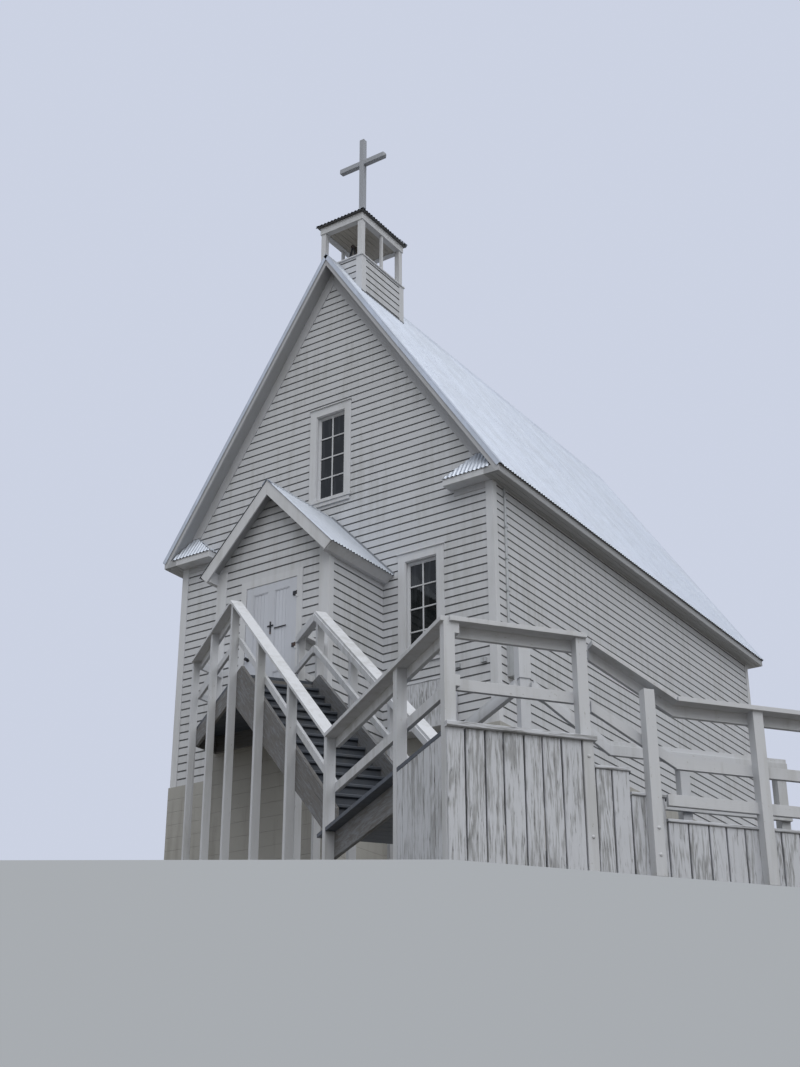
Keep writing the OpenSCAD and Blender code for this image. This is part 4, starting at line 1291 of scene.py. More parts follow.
@dataclass
class Cornice:
    """Roof slabs, boxed eaves, rake boards and friezes, open where the returns run under them."""

    site: Site
    # Darker paint of the slabs and eave soffits: painted shade under the overhang
    soffit: PaintedWood
    # Rake boards and friezes are painted darker than the trim: painted shade of the overhang
    shaded: PaintedWood = PaintedWood("rake_painted_shade", colour=(0.44, 0.45, 0.48), wear=0.1)
    slab: float = 0.19977
    thick: float = 0.025
    frieze: float = 0.2724
    frieze_inset: float = 0.06
    low_frieze: float = 0.095
    sheet_out: float = 0.04
    soffit_boards: int = 3
    soffit_t: float = 0.009
    soffit_up: float = 0.003
    soffit_gap: float = 0.004
    soffit_past: float = 0.2

    def build(self) -> None:
        """Makes the slabs and the boards of both ends."""
        self._slabs()
        self._boards()

    def _section(self) -> list[Point]:
        """Outline of one slab with its eave, which its rake board shares.

        Returns:
            Its corners in X and Z.
        """
        site = self.site
        fascia = site.eave_x - self.sheet_out
        return [(HAIR, site.roof_top(HAIR)), (fascia, site.roof_top(fascia)),
                (fascia, site.soffit_z), (site.under_x(site.soffit_z), site.soffit_z),
                (HAIR, site.ridge_z - self.slab)]

    def _slabs(self) -> None:
        """The roof's two slabs with their eave boxes, and the boxes' soffit boards."""
        site = self.site
        stock = Stock(seed=91)
        box = [(site.half_w, site.soffit_z), (site.under_x(site.soffit_z), site.soffit_z),
               (site.half_w, site.under_z(site.half_w))]
        width = (site.eave_x - self.sheet_out - site.half_w) / self.soffit_boards
        level = site.soffit_z - self.soffit_up
        for sign in (1, -1):
            stock.prism(upright(self._section(), site.roof_front, sign),
                        Y_WAY * (site.roof_back - site.roof_front), grain=Y_WAY, tone=0.5)
            stock.prism(upright(box, 0.0, sign), Y_WAY * site.nave_l, grain=Y_WAY, tone=0.5)
            for k in range(self.soffit_boards):
                x = sign * (site.half_w + (k + 0.5) * width)
                stock.board((x, -self.soffit_past, level),
                            (x, site.nave_l + self.soffit_past, level), X_WAY,
                            width - self.soffit_gap, self.soffit_t)
            for base, out in site.ends:
                self._under_slab(stock, sign, base, out)
        stock.piece("roof_slabs", Slot.TRIM, replaces=["nave_roof_left", "nave_roof_right"],
                    finish=self.soffit)

    def _under_slab(self, stock: Stock, sign: int, base: float, out: int) -> None:
        """Adds the part of one cornice return that runs on under the slab.

        Args:
            stock: Where it goes.
            sign: 1 on the right and -1 on the left.
            base: Place of the wall's face along Y.
            out: 1 or -1, for the way along Y that leads away from the wall.
        """
        site = self.site
        front = base + out * (abs(site.rake_front) - HAIR)
        edge = site.soffit_z + site.return_low
        wall, high = site.half_w, site.under_z(site.half_w)
        foot = [(wall, site.soffit_z), (site.under_x(site.soffit_z), site.soffit_z)]
        stock.loft([upright([*foot, (wall + HAIR, high - 2 * HAIR), (wall, high)], base, sign),
                    upright([*foot, (site.under_x(edge), edge), (wall, edge)], front, sign)],
                   X_WAY, tone=0.5)
        inner = wall - site.return_len
        rings = []
        # Shares just short of 0 and 1 keep the hip's ends from closing to an edge
        for x, full in ((inner, 0.01), (inner + site.return_hip, 0.99), (wall, 0.99)):
            top = edge + site.return_rise * full
            face = [(0.0, edge), (1.0, edge), (1.0 - full, top), (0.0, top)]
            rings.append([Vector((sign * x, base + (front - base) * y, z)) for y, z in face])
        stock.loft(rings, X_WAY, tone=0.5)

    def _boards(self) -> None:
        """Rake boards, raking friezes and the short friezes under the returns."""
        site = self.site
        stock = Stock(seed=92)
        cut = site.soffit_z + site.return_low + site.return_rise
        frieze = [(HAIR, site.under_apex), (site.under_x(cut), cut),
                  (site.under_x(cut + self.frieze), cut), (HAIR, site.under_apex - self.frieze)]
        level = site.soffit_z - self.low_frieze / 2
        inner = site.half_w - site.return_len + self.frieze_inset
        for sign in (1, -1):
            grain = downhill(sign, site.main_pitch)
            for base, out in site.ends:
                run = Y_WAY * (out * self.thick)
                front = base + out * (abs(site.rake_front) - self.thick)
                stock.prism(upright(self._section(), front, sign), run, grain=grain)
                stock.prism(upright(frieze, base, sign), run, grain=grain)
                y = base + out * self.thick / 2
                stock.board((sign * inner, y, level),
                            (sign * (site.half_w - self.low_frieze), y, level), UP,
                            self.low_frieze, self.thick)
        stock.piece("gable_trim", Slot.TRIM, replaces=["gable_boards"], finish=self.shaded)


@dataclass
class BelfryTrim:
    """Corner boards, ledge and foot flashing of the belfry's base."""

    site: Site
    wide: float = 0.1
    thick: float = 0.018
    ledge: float = 0.034
    ledge_t: float = 0.026
    sunk: float = 0.028
    lead: float = 0.002
    lead_in: float = 0.01
    lead_up: float = 0.016
    lead_past: float = 0.03
    skirt: float = 0.05
    upstand: float = 0.045

    def build(self) -> None:
        """Makes the boards, then the flashing."""
        self._boards()
        self._flashing()

    def _boards(self) -> None:
        """Two boards at each corner and a ledge on each side."""
        site = self.site
        low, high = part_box("belfry_posts")
        base_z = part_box("belfry_base")[1].z
        cap, top = base_z - self.sunk, base_z - self.sunk / 2
        stock = Stock(seed=95)
        outer, inner = high.x + self.thick, high.x - self.wide
        face = [(outer, site.roof_top(outer)), (inner, site.roof_top(inner)), (inner, cap),
                (outer, cap)]
        for sx in (1, -1):
            for y, sy in ((low.y, -1), (high.y, 1)):
                stock.prism(upright(face, y, sx), Y_WAY * (sy * self.thick))
                x, back = sx * (high.x + self.thick / 2), y - sy * self.wide / 2
                stock.board((x, back, site.roof_top(high.x)), (x, back, cap), Y_WAY, self.wide,
                            self.thick)
        for sign in (1, -1):
            x = sign * (high.x + self.ledge / 2)
            stock.board((x, low.y - self.ledge, top), (x, high.y + self.ledge, top), X_WAY,
                        self.ledge, self.ledge_t)
        for y in (low.y - self.ledge / 2, high.y + self.ledge / 2):
            stock.board((-high.x, y, top), (high.x, y, top), Y_WAY, self.ledge, self.ledge_t)
        stock.piece("belfry_corners", Slot.TRIM)

    def _flashing(self) -> None:
        """Flashing strips where the sides of the base stand on the roof, painted dark all over as
        painted shade along that joint.
        """
        low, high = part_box("belfry_posts")
        stock = Stock(seed=96)
        inner, out = high.x - self.lead_in, high.x + self.thick + self.lead
        section = [(inner, 0.0), (out + self.skirt, 0.0), (out + self.skirt, 2 * self.lead),
                   (out, 2.5 * self.lead), (out - self.lead, self.upstand), (inner, self.upstand)]
        face = [(x, self.site.roof_top(x) + self.lead_up + z) for x, z in section]
        ends = (low.y - self.lead_past, high.y + self.lead_past)
        for sign in (1, -1):
            # Every face of the strips gets painted shade
            stock.loft([upright(face, y, sign) for y in ends], Y_WAY, painted_shade=SHADOW)
        stock.piece("belfry_flashing", Slot.ROOF)


@dataclass
class SmallRoofs:
    """Corrugated sheets of the entry, the belfry and the cornice returns."""

    site: Site
    edge_out: float = 0.025
    front_out: float = 0.012
    return_run: float = 0.225
    return_out: float = 0.014
    return_short: float = 0.038
    return_end: float = 0.010
    under_slab: float = 0.03
    past_slab: float = 0.07
    depth: float = 0.014
    one_sheet: float = 3.0
    ridge_wing: float = 0.11
    ridge_lap: float = 0.004
    lift: float = 0.0185
    flange: float = 0.03
    flange_lift: float = 0.019
    upstand: float = 0.042
    wall_gap: float = 0.016
    eave_step: float = 0.004
    hip_wing: float = 0.045
    hip_drop: float = 0.022
    hip_lift: float = 0.023
    cross_half: float = 0.0485
    roof_edge: float = 0.022

    def build(self) -> None:
        """Makes the sheets of each small roof."""
        self._entry()
        self._entry_eaves()
        self._belfry()
        self._returns()

    def _entry(self) -> None:
        """Both slopes of the entry roof, its ridge and the flashing against the wall."""
        site = self.site
        length = site.entry_eave_x * math.hypot(1, site.entry_pitch)
        front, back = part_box("entry_bargeboards")[0].y - self.front_out, -self.wall_gap
        ridge = Vector((0, 0, site.entry_ridge_z))
        sheets, strips = Stock(seed=31), Stock(seed=32)
        wing = rectangle(-self.ridge_lap, self.lift, self.ridge_wing, self.lift - STRIP)
        low = self.flange_lift
        flash = [(-self.flange, low), (0.0, low), (0.0, self.upstand), (-STRIP, self.upstand),
                 (-STRIP, low + STRIP), (-self.flange, low + STRIP)]
        for sign in (1, -1):
            down, out = downhill(sign, site.entry_pitch), off_slope(sign, site.entry_pitch)
            sheet = Corrugated(ridge + Y_WAY * front, Y_WAY, down)
            sheet.lay(sheets, back - front, lambda a: self.front_out,
                      lambda a: length + self.edge_out)
            strips.loft([[ridge + Y_WAY * y + down * b + out * h for b, h in wing]
                         for y in (front, back - HAIR / 2)], Y_WAY)
            # The flashing against the wall is painted 0.6 towards the near-black edge colour:
            # painted shade of the thin dark line where the roof meets the wall
            strips.loft([[ridge + down * b + Y_WAY * (back + y) + out * h for y, h in flash]
                         for b in (0.05, length + 0.01)], down, painted_shade=0.6)
        sheets.piece("entry_sheets", Slot.ROOF, smooth=40)
        strips.piece("entry_flashings", Slot.ROOF)

    def _entry_eaves(self) -> None:
        """Boxes under the eaves of the entry roof, with a fascia square to the slope."""
        site = self.site
        stock = Stock(seed=35)
        step = self.eave_step
        edge, wall = site.entry_eave_x + step, site.entry_half + self.wall_gap
        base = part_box("entry_bargeboards")[0].z + step
        top = site.entry_ridge_z - site.entry_pitch * edge - step
        face = [(edge, top), (edge - site.entry_pitch * (top - base), base), (wall, base),
                (wall, site.entry_under - site.entry_pitch * wall)]
        for sign in (1, -1):
            stock.prism(upright(face, site.entry_roof_front + HAIR, sign),
                        Y_WAY * (-self.wall_gap - STRIP - site.entry_roof_front), grain=Y_WAY)
        stock.piece("entry_eave_boxes", Slot.TRIM)

    def _belfry(self) -> None:
        """Four hipped slopes round the foot of the cross, with a strip over each hip."""
        low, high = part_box("belfry_roof")
        eave = low.z + self.roof_edge
        seat = self.cross_half
        stock = Stock(seed=33)
        middle, half = (low + high) / 2, (high - low) / 2
        for axis, other in ((0, 1), (1, 0)):
            side = half[other]
            for sign in (1, -1):
                down = Vector((0, 0, eave - high.z))
                down[axis] = sign * (half[axis] - seat)
                across = Vector()
                across[other] = 1
                origin = Vector((middle.x, middle.y, high.z))
                origin[axis] += sign * seat
                origin[other] -= side
                length = down.length
                sheet = Corrugated(origin, across, down.normalized(), cover=self.one_sheet,
                                   depth=self.depth)
                sheet.lay(stock, 2 * side,
                          lambda a: length * max(0.0, abs(a - side) - seat) / (side - seat),
                          lambda a: length + self.front_out)
        for x in (1, -1):
            for y in (1, -1):
                self._hip(stock, Vector((middle.x + x * seat, middle.y + y * seat, high.z)),
                          Vector((middle.x + x * half.x, middle.y + y * half.y, eave)))
        stock.piece("belfry_sheets", Slot.ROOF, smooth=40)

    def _hip(self, stock: Stock, top: Vector, foot: Vector) -> None:
        """Adds a bent strip over one hip.

        Args:
            stock: Where it goes.
            top: Where the hip starts.
            foot: Where the hip ends.
        """
        along = (foot - top).normalized()
        side = along.cross(UP).normalized() * self.hip_wing
        drop = UP * self.hip_drop
        wings = [-side - drop, UP * self.ridge_lap, side - drop]
        section = [shift + UP * lift for lift, row in
                   ((self.hip_lift, wings), (self.hip_lift - STRIP, wings[::-1])) for shift in row]
        stock.loft([[at + shift for shift in section]
                    for at in (top, foot + along * self.front_out)], along)

    def _returns(self) -> None:
        """The four cornice returns, each with a front slope and a hipped end."""
        stock = Stock(seed=34)
        for sign in (1, -1):
            for base, out in self.site.ends:
                self._return(stock, sign, base, out)
        stock.piece("return_sheets", Slot.ROOF, smooth=40)

    def _return(self, stock: Stock, sign: int, base: float, out: int) -> None:
        """Adds one cornice return's front slope, which stops under the main slab, and its end.

        Args:
            stock: Where it goes.
            sign: 1 on the right and -1 on the left.
            base: Place of the wall's face along Y.
            out: 1 or -1, for the way along Y that leads away from the wall.
        """
        site = self.site
        rise, hip, run = site.return_rise, site.return_hip, self.return_run
        top = site.soffit_z + site.return_low + rise
        inner = site.half_w - site.return_len
        slope, ended = math.hypot(run, rise), math.hypot(hip, rise)
        reach = slope + (self.return_out if out < 0 else -self.return_short)

        def upper(a: float) -> float:
            """Where the front slope starts: at its hip, or clear of the main slab."""
            under = (top + self.under_slab - site.under_z(inner + a)) / rise * slope
            return min(max(slope * max(0.0, 1 - a / hip), under, 4 * HAIR), reach - HAIR)

        down = Vector((0, out * run, -rise)).normalized()
        front = Corrugated(Vector((sign * inner, base, top)), X_WAY * sign, down,
                           cover=self.one_sheet, depth=self.depth)
        front.lay(stock, site.under_x(top - rise + self.past_slab) - inner, upper,
                  lambda a: reach)
        end = Corrugated(Vector((sign * (inner + hip), base, top)), Y_WAY * out,
                         Vector((-sign * hip, 0, -rise)).normalized(), cover=self.one_sheet,
                         depth=self.depth)
        end.lay(stock, run, lambda a: ended * a / run, lambda a: ended + self.return_end)


@dataclass
class Windows:
    """Glazing bars, drip caps and aprons of the three windows."""

    site: Site
    half: float = 0.2225
    height: float = 1.36
    rows: int = 4
    bar: float = 0.022
    bar_t: float = 0.016
    putty: float = 0.006
    sash: float = 0.042
    casing: float = 0.118
    cap: float = 0.018
    cap_up: float = 0.008
    cap_out: float = 0.012
    cap_y: Point = (-0.045, -HAIR)
    sill: float = 0.055
    apron: float = 0.06
    apron_in: float = 0.006
    apron_y: Point = (-0.04, -0.015)
    arris: float = 0.005
    putty_y: float = 0.009
    putty_in: float = 0.004

    def build(self) -> None:
        """Makes the bars and the caps."""
        glass_low, glass_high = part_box("window_glass")
        low_x = glass_high.x - self.half
        reach = self.half + self.sash + self.casing
        bars, caps = Stock(seed=41), Stock(seed=42)
        for x, z in ((low_x, glass_low.z), (-low_x, glass_low.z),
                     (0.0, glass_high.z - self.height)):
            self._bars(bars, x, z, glass_low.y)
            head = z + self.height + self.sash + self.casing + self.cap_up
            foot = z - self.sash - self.sill
            for out, (y0, y1), z0, z1, arris in (
                    (self.cap_out, self.cap_y, head, head + self.cap, 0.004),
                    (-self.apron_in, self.apron_y, foot - self.apron, foot, ARRIS)):
                caps.block((x - reach - out, y0, z0), (x + reach + out, y1, z1), arris)
        bars.piece("window_bars", Slot.TRIM)
        caps.piece("window_caps", Slot.TRIM)

    def _bars(self, stock: Stock, x: float, z: float, pane: float) -> None:
        """Adds one window's bars, before the pane and behind it, and its putty.

        Args:
            stock: Where they go.
            x: Middle of the window.
            z: Foot of its pane.
            pane: Place of the pane's face along Y.
        """
        bar, putty, top = self.bar / 2, self.putty, z + self.height
        x0, x1, front = x - self.half, x + self.half, pane - self.putty_y
        for y0, y1 in ((pane - self.bar_t, pane), (pane + self.putty, pane + 3 * self.putty)):
            stock.block((x - bar, y0, z), (x + bar, y1, top), self.arris)
            for k in range(1, self.rows):
                level = z + self.height * k / self.rows
                for left, right in ((x0, x - bar), (x + bar, x1)):
                    stock.block((left, y0, level - bar), (right, y1, level + bar), self.arris)
        for edge in (x1 - self.putty_in, x0 + self.putty_in):
            stock.block((edge - putty, front, z), (edge + putty, pane, top), self.putty_in)
        for level in (z + putty, top - putty):
            stock.block((x0, front, level - putty), (x1, pane, level + putty), self.putty_in)


@dataclass
class StairWork:
    """What the boards of the stair, its decks and their skirts share."""

    site: Site
    side_riser: float = 0.18
    side_going: float = 0.29
    side_steps: int = 3

    def level(self, step: int) -> float:
        """Height of a side step, counted down from the deck."""
        return self.site.deck_z - step * self.side_riser

    def edge(self, step: int) -> float:
        """Where a side step ends along v, the last one at the end of the walk."""
        if step == self.side_steps:
            return self.site.walk_end
        return self.site.post / 2 + step * self.side_going

    def beam(self, stock: Stock, u: float | Point, v: float | Point, z: float | Point,
             side: Vector, width: float, thick: float, arris: float = ARRIS) -> None:
        """Adds a board placed by the stair's own axes.

        Args:
            stock: Where it goes.
            u: Its place down the stair, or both its ends as a pair.
            v: The same across the stair.
            z: The same for its height.
            side: Direction of its width.
            width: Size along side.
            thick: Size square to side and to its length.
            arris: How far its long edges are eased.
        """
        ends = [[axis[k] if isinstance(axis, tuple) else axis for axis in (u, v, z)]
                for k in (0, 1)]
        stock.board(*(self.site.on_stair(*end) for end in ends), side, width, thick, arris)


@dataclass
class Skirts(StairWork):
    """Weathered upright boards round the lower deck and the walk, with their caps and bolts."""

    deck_pitch: float = 0.146
    walk_pitch: float = 0.158
    side_pitch: float = 0.132
    gap: float = 0.013
    thick: float = 0.025
    lip: float = 0.014
    clear: float = 0.004
    ease: float = 0.004
    near_post: float = 0.4995
    walk_bay: float = 0.94
    notch: float = 0.002
    cap_end: float = 0.02
    cap_round: float = 0.005
    side_drop: float = 0.04
    uneven: float = 0.012
    lean: float = 0.002
    droop: float = 0.003
    cup: float = 0.0018
    bolt: float = 0.014

    def build(self) -> None:
        """Makes the boards, the caps, the corner post and the bolts."""
        self._boards()
        self._caps()
        self._post()
        self._bolts()

    def _boards(self) -> None:
        """The upright boards on both sides of the deck's corner."""
        site = self.site
        stock = Stock(seed=51)
        half = site.post / 2
        runs = [(site.left_v, -half - self.clear, site.deck_z, self.deck_pitch)]
        for step in range(1, self.side_steps + 1):
            start = self.edge(step - 1) + (self.clear if step == 1 else 0.0)
            pitch = self.deck_pitch if step < self.side_steps else self.walk_pitch
            runs.append((start, self.edge(step), self.level(step) - self.thick, pitch))
        for start, end, top, pitch in runs:
            for a, b in self._split(stock, start, end, pitch):
                self._upright(stock, site.on_stair(site.deck_u, 0, 0), site.v, site.u, a, b, top)
        for a, b in self._split(stock, site.side_u + self.clear,
                                site.deck_u - site.post - self.clear, self.side_pitch):
            self._upright(stock, site.on_stair(0, site.left_v + self.thick, 0), site.u, -site.v,
                          a, b, site.deck_z - self.side_drop)
        stock.piece("skirt_boards", Slot.WEATHERED, replaces=["deck_skirt"])

    def _split(self, stock: Stock, start: float, end: float,
               pitch: float) -> list[tuple[float, float]]:
        """Shares out the run between two places, each board a little wider or narrower.

        Args:
            stock: Whose random draws it takes.
            start: The first place.
            end: The last place.
            pitch: Usual width of a board with its gap.

        Returns:
            Both edges of each board.
        """
        count = max(1, round((end - start) / pitch))
        shares = [stock.draw.uniform(0.9, 1.1) for _ in range(count)]
        scale = (end - start) / sum(shares)
        edges = [start]
        for share in shares:
            edges.append(edges[-1] + share * scale)
        return [(a + self.gap / 2, b - self.gap / 2) for a, b in zip(edges, edges[1:])]

    def _upright(self, stock: Stock, origin: Vector, along: Vector, out: Vector, a: float,
                 b: float, top: float) -> None:
        """Adds one upright board, cupped and a little askew.

        Args:
            stock: Where it goes.
            origin: Point from which a and b are measured.
            along: Direction of the row.
            out: Direction that the board faces.
            a: Its first edge.
            b: Its other edge.
            top: Height of its head.
        """
        foot = stock.draw.uniform(0.0, self.uneven)
        lean = stock.draw.uniform(-self.lean, self.lean)
        head = top - stock.draw.uniform(0.0, self.droop)
        cup = stock.draw.uniform(0.0, self.cup)
        shallow = self.thick - self.ease
        plan = [(a, 0.0), (b, 0.0), (b, shallow), (b - self.ease, self.thick),
                ((a + b) / 2, self.thick - cup), (a + self.ease, self.thick), (a, shallow)]
        stock.loft([[origin + along * (s + shift) + out * d + UP * z for s, d in plan]
                    for z, shift in ((foot, lean), ((foot + head) / 2, 0.0), (head, -lean))], UP)

    def _caps(self) -> None:
        """The deck's cap board and the short caps of the steps, notched round the posts."""
        site = self.site
        stock = Stock(seed=52)
        half = site.post / 2
        self._cap(stock, (site.deck_u, site.end_u + site.cap_out),
                  (site.left_v - self.cap_round, half + self.cap_end),
                  (site.deck_z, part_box("deck_skirt")[1].z))
        inner, notch = site.deck_u + HAIR, half + self.notch
        for step in range(1, self.side_steps + 1):
            start, end = self.edge(step - 1), self.edge(step)
            level = (self.level(step) - self.thick, self.level(step))
            posts = [post for post in (self.near_post + k * self.walk_bay for k in range(3))
                     if start < post < end]
            cuts = [start]
            for post in posts:
                cuts += [post - notch, post + notch]
            cuts.append(end)
            for piece in zip(cuts[::2], cuts[1::2]):
                self._cap(stock, (inner, site.end_u + self.lip), piece, level)
            for post in posts:
                self._cap(stock, (inner, site.end_u - HAIR), (post - half, post + half), level)
        stock.piece("skirt_caps", Slot.WEATHERED)

    def _cap(self, stock: Stock, u: Point, v: Point, z: Point) -> None:
        """Adds one flat cap that fills a box on the stair's axes."""
        self.beam(stock, sum(u) / 2, v, sum(z) / 2, self.site.u, u[1] - u[0], z[1] - z[0],
                  self.cap_round)

    def _post(self) -> None:
        """The board over the foot of the corner post."""
        site = self.site
        stock = Stock(seed=53)
        self.beam(stock, site.end_u - self.thick / 2 + self.clear, 0, (0.0, site.deck_z - HAIR),
                  site.v, site.post - 2 * HAIR, self.thick + 2 * self.clear, self.ease)
        stock.piece("skirt_post", Slot.RAILING)

    def _bolts(self) -> None:
        """Round bolt heads on the posts by the side steps."""
        site = self.site
        stock = Stock(seed=54)
        for u, v, levels in ((site.end_u + 2 * self.clear, 0.0, (0.88, 0.27)),
                             (site.end_u + site.post, self.near_post, (0.36, 0.16))):
            for z in levels:
                stock.dome(site.on_stair(u, v, z), site.u, self.bolt)
        stock.piece("skirt_bolts", Slot.RAILING)


@dataclass
class Decking(StairWork):
    """Boards of the stair, the landing, the lower deck and the side walk."""

    tread: float = 0.038
    nose: float = 0.025
    riser_t: float = 0.02
    board_t: float = 0.038
    rim: float = 0.235
    rim_t: float = 0.025
    gap: float = 0.005
    pitch: float = 0.143
    nose_round: float = 0.009
    step_round: float = 0.005
    sliver: Point = (0.004, 0.01)
    worn: WeatheredPaint = WeatheredPaint("stringer_worn", colour=(0.16, 0.165, 0.175),
                                          wood=(0.10, 0.095, 0.09), cover=0.45)

    def build(self) -> None:
        """Makes the boards and the timbers under them."""
        self._flight()
        self._deck()
        self._walk()
        self._landing()

    def _flight(self) -> None:
        """Treads of two boards each, closed risers and the two cut stringers."""
        site = self.site
        v0 = site.left_v + site.post + self.board_t
        v1 = -site.post / 2 - self.board_t
        treads, strings = Stock(seed=61), Stock(seed=62)
        width = (site.going + self.nose - self.gap) / 2
        for i in range(1, site.risers):
            top = site.landing_z - i * site.riser
            low = top - site.riser
            for k, arris in ((0, self.nose_round), (1, ARRIS)):
                u = i * site.going + self.nose - width * (k + 0.5) - self.gap * k
                self.beam(treads, u, (v0 + HAIR, v1 - HAIR), top - self.tread / 2, site.u,
                          width, self.tread, arris)
            self.beam(treads, i * site.going - self.riser_t / 2, (v0 + 2 * HAIR, v1 - 2 * HAIR),
                      (top - self.tread + low) / 2, UP, site.riser - self.tread - HAIR,
                      self.riser_t, 2 * HAIR)
        run = (site.risers - 1) * site.going
        drop = site.risers * site.riser
        outline = [(0.0, 0.0), (site.going, 0.0), (run + site.going, site.riser - drop),
                   (run + site.going, -drop), (run, -drop), (0.0, -self.rim - site.riser)]
        for v in (v0 - self.board_t, v1):
            face = [site.on_stair(u, v, site.landing_z + z) for u, z in outline]
            strings.prism(face, site.v * self.board_t, grain=(face[2] - face[1]).normalized())
        treads.piece("stair_treads", Slot.STAIR, replaces=["entry_stair"])
        strings.piece("stair_strings", Slot.WEATHERED, finish=self.worn)

    def _deck(self) -> None:
        """Deck boards across the flight, cut round the posts, and their joists."""
        site = self.site
        half = site.post / 2
        cut = half + 0.1 * HAIR
        stock, joists = Stock(seed=63), Stock(seed=64)
        foot = site.deck_from + site.going - half - HAIR
        holes = [rectangle(v - cut, u - cut, v + cut, u + cut)
                 for u in (foot, site.side_u - half, site.deck_u - half)
                 for v in (site.left_v + half, 0.0)]
        region = Region(rectangle(site.left_v, site.deck_from, half, site.deck_u), holes)
        self._boards(stock, region, site.deck_z, lambda s, t: site.on_stair(t, s, 0), site.v)
        stock.piece("deck_boards", Slot.STAIR, replaces=["lower_deck"])
        level = site.deck_z - self.tread - self.rim / 2
        for v in (site.left_v + site.post + self.board_t / 2, -half - self.board_t / 2):
            self.beam(joists, (site.deck_from, site.deck_u - site.post), v, level, UP, self.rim,
                      self.board_t)
        joists.piece("deck_joists", Slot.WEATHERED, finish=self.worn)

    def _boards(self, stock: Stock, region: Region, top: float,
                place: Callable[[float, float], Vector], grain: Vector) -> None:
        """Covers a level region with boards that run along its s.

        Args:
            stock: Where the boards go.
            region: Its shape.
            top: Height of their face.
            place: Function from (s, t) to the place on the ground.
            grain: Direction that the boards run in.
        """
        low = min(t for _, t in region.outline)
        high = max(t for _, t in region.outline)
        count = round((high - low) / self.pitch)
        each = (high - low) / count
        for k in range(count):
            start = low + k * each + (self.gap / 2 if k else 0)
            end = low + (k + 1) * each - (self.gap / 2 if k < count - 1 else 0)
            tone = stock.draw.random()
            for ta, tb, (l0, r0, l1, r1) in region.strips(start, end):
                if (min(r0 - l0, r1 - l1) < self.sliver[0]
                        and max(r0 - l0, r1 - l1) < self.sliver[1]):
                    continue
                plan = [place(s, t) for s, t in ((l0, ta), (r0, ta), (r1, tb), (l1, tb))]
                stock.plank(plan, top - self.tread, top, grain, tone)

    def _walk(self) -> None:
        """The side steps, their risers and the walk's boards."""
        site = self.site
        stock, rims = Stock(seed=65), Stock(seed=66)
        u0, u1 = site.side_u, site.deck_u
        width = (self.side_going + self.riser_t - self.gap) / 2
        for step in range(1, self.side_steps):
            for start in (self.edge(step - 1), self.edge(step - 1) + width + self.gap):
                self.beam(stock, (u0, u1), start + width / 2, self.level(step) - self.tread / 2,
                          site.v, width, self.tread, self.step_round)
        for step in range(self.side_steps):
            v = site.post / 2 + step * self.side_going - self.riser_t / 2
            top, low = self.level(step) - self.tread, self.level(step + 1)
            self.beam(stock, (u0 + 0.04, u1 - (HAIR if step else site.post)), v, (top + low) / 2,
                      UP, top - low - HAIR, self.riser_t, 2 * HAIR)
        start, end = self.edge(self.side_steps - 1) - self.riser_t, site.walk_end
        top = self.level(self.side_steps)
        self._boards(stock, Region(rectangle(u0, start, u1, end)), top,
                     lambda s, t: site.on_stair(s, t, 0), site.u)
        stock.piece("walk_boards", Slot.STAIR, replaces=["side_walk"])
        under = top - self.tread
        self.beam(rims, u0 + self.board_t / 2, (site.post / 2, end), under / 2, UP, under,
                  self.board_t)
        self.beam(rims, (u0, u1), end - self.rim_t / 2, under / 2, UP, under, self.rim_t)
        rims.piece("walk_rims", Slot.WEATHERED, finish=self.worn)

    def _landing(self) -> None:
        """Landing boards along the front, cut to the turned stair, on their rim."""
        site = self.site
        outline = self._outline("door_landing")
        stock, rims = Stock(seed=67), Stock(seed=68)
        self._boards(stock, Region(outline), site.landing_z, lambda s, t: Vector((s, t, 0)), X_WAY)
        stock.piece("landing_boards", Slot.STAIR, replaces=["door_landing"])
        corners = [Vector((x, y, 0)) for x, y in outline]
        middle = sum(corners, Vector()) / len(corners)
        for start, end in zip(corners, [*corners[1:], corners[0]]):
            if (end - start).length < 0.05:
                continue
            along = (end - start).normalized()
            inward = UP.cross(along)
            if inward.dot(middle - start) < 0:
                inward = -inward
            shift = (inward * ((self.board_t + HAIR) / 2)
                     + UP * (site.landing_z - self.tread - self.rim / 2))
            rims.board(start + shift + along * (2 * HAIR), end + shift - along * (2 * HAIR), UP,
                       self.rim - HAIR, self.board_t)
        rims.piece("landing_rim", Slot.WEATHERED, finish=self.worn)

    @staticmethod
    def _outline(node: str) -> list[Point]:
        """Reads the outline of a level slab off the top of a frame node.

        Args:
            node: The frame node.

        Returns:
            Its corners in X and Y.
        """
        mesh = frame["nodes"][node].data
        top = max(c.co.z for c in mesh.vertices)
        shape = bmesh.new()
        shape.from_mesh(mesh)
        bmesh.ops.remove_doubles(shape, verts=shape.verts, dist=1e-5)
        bmesh.ops.dissolve_limit(shape, angle_limit=0.01, verts=shape.verts, edges=shape.edges)
        face = max((f for f in shape.faces if abs(f.calc_center_median().z - top) < 1e-4),
                   key=lambda f: f.calc_area())
        outline = [(v.co.x, v.co.y) for v in face.verts]
        shape.free()
        return outline


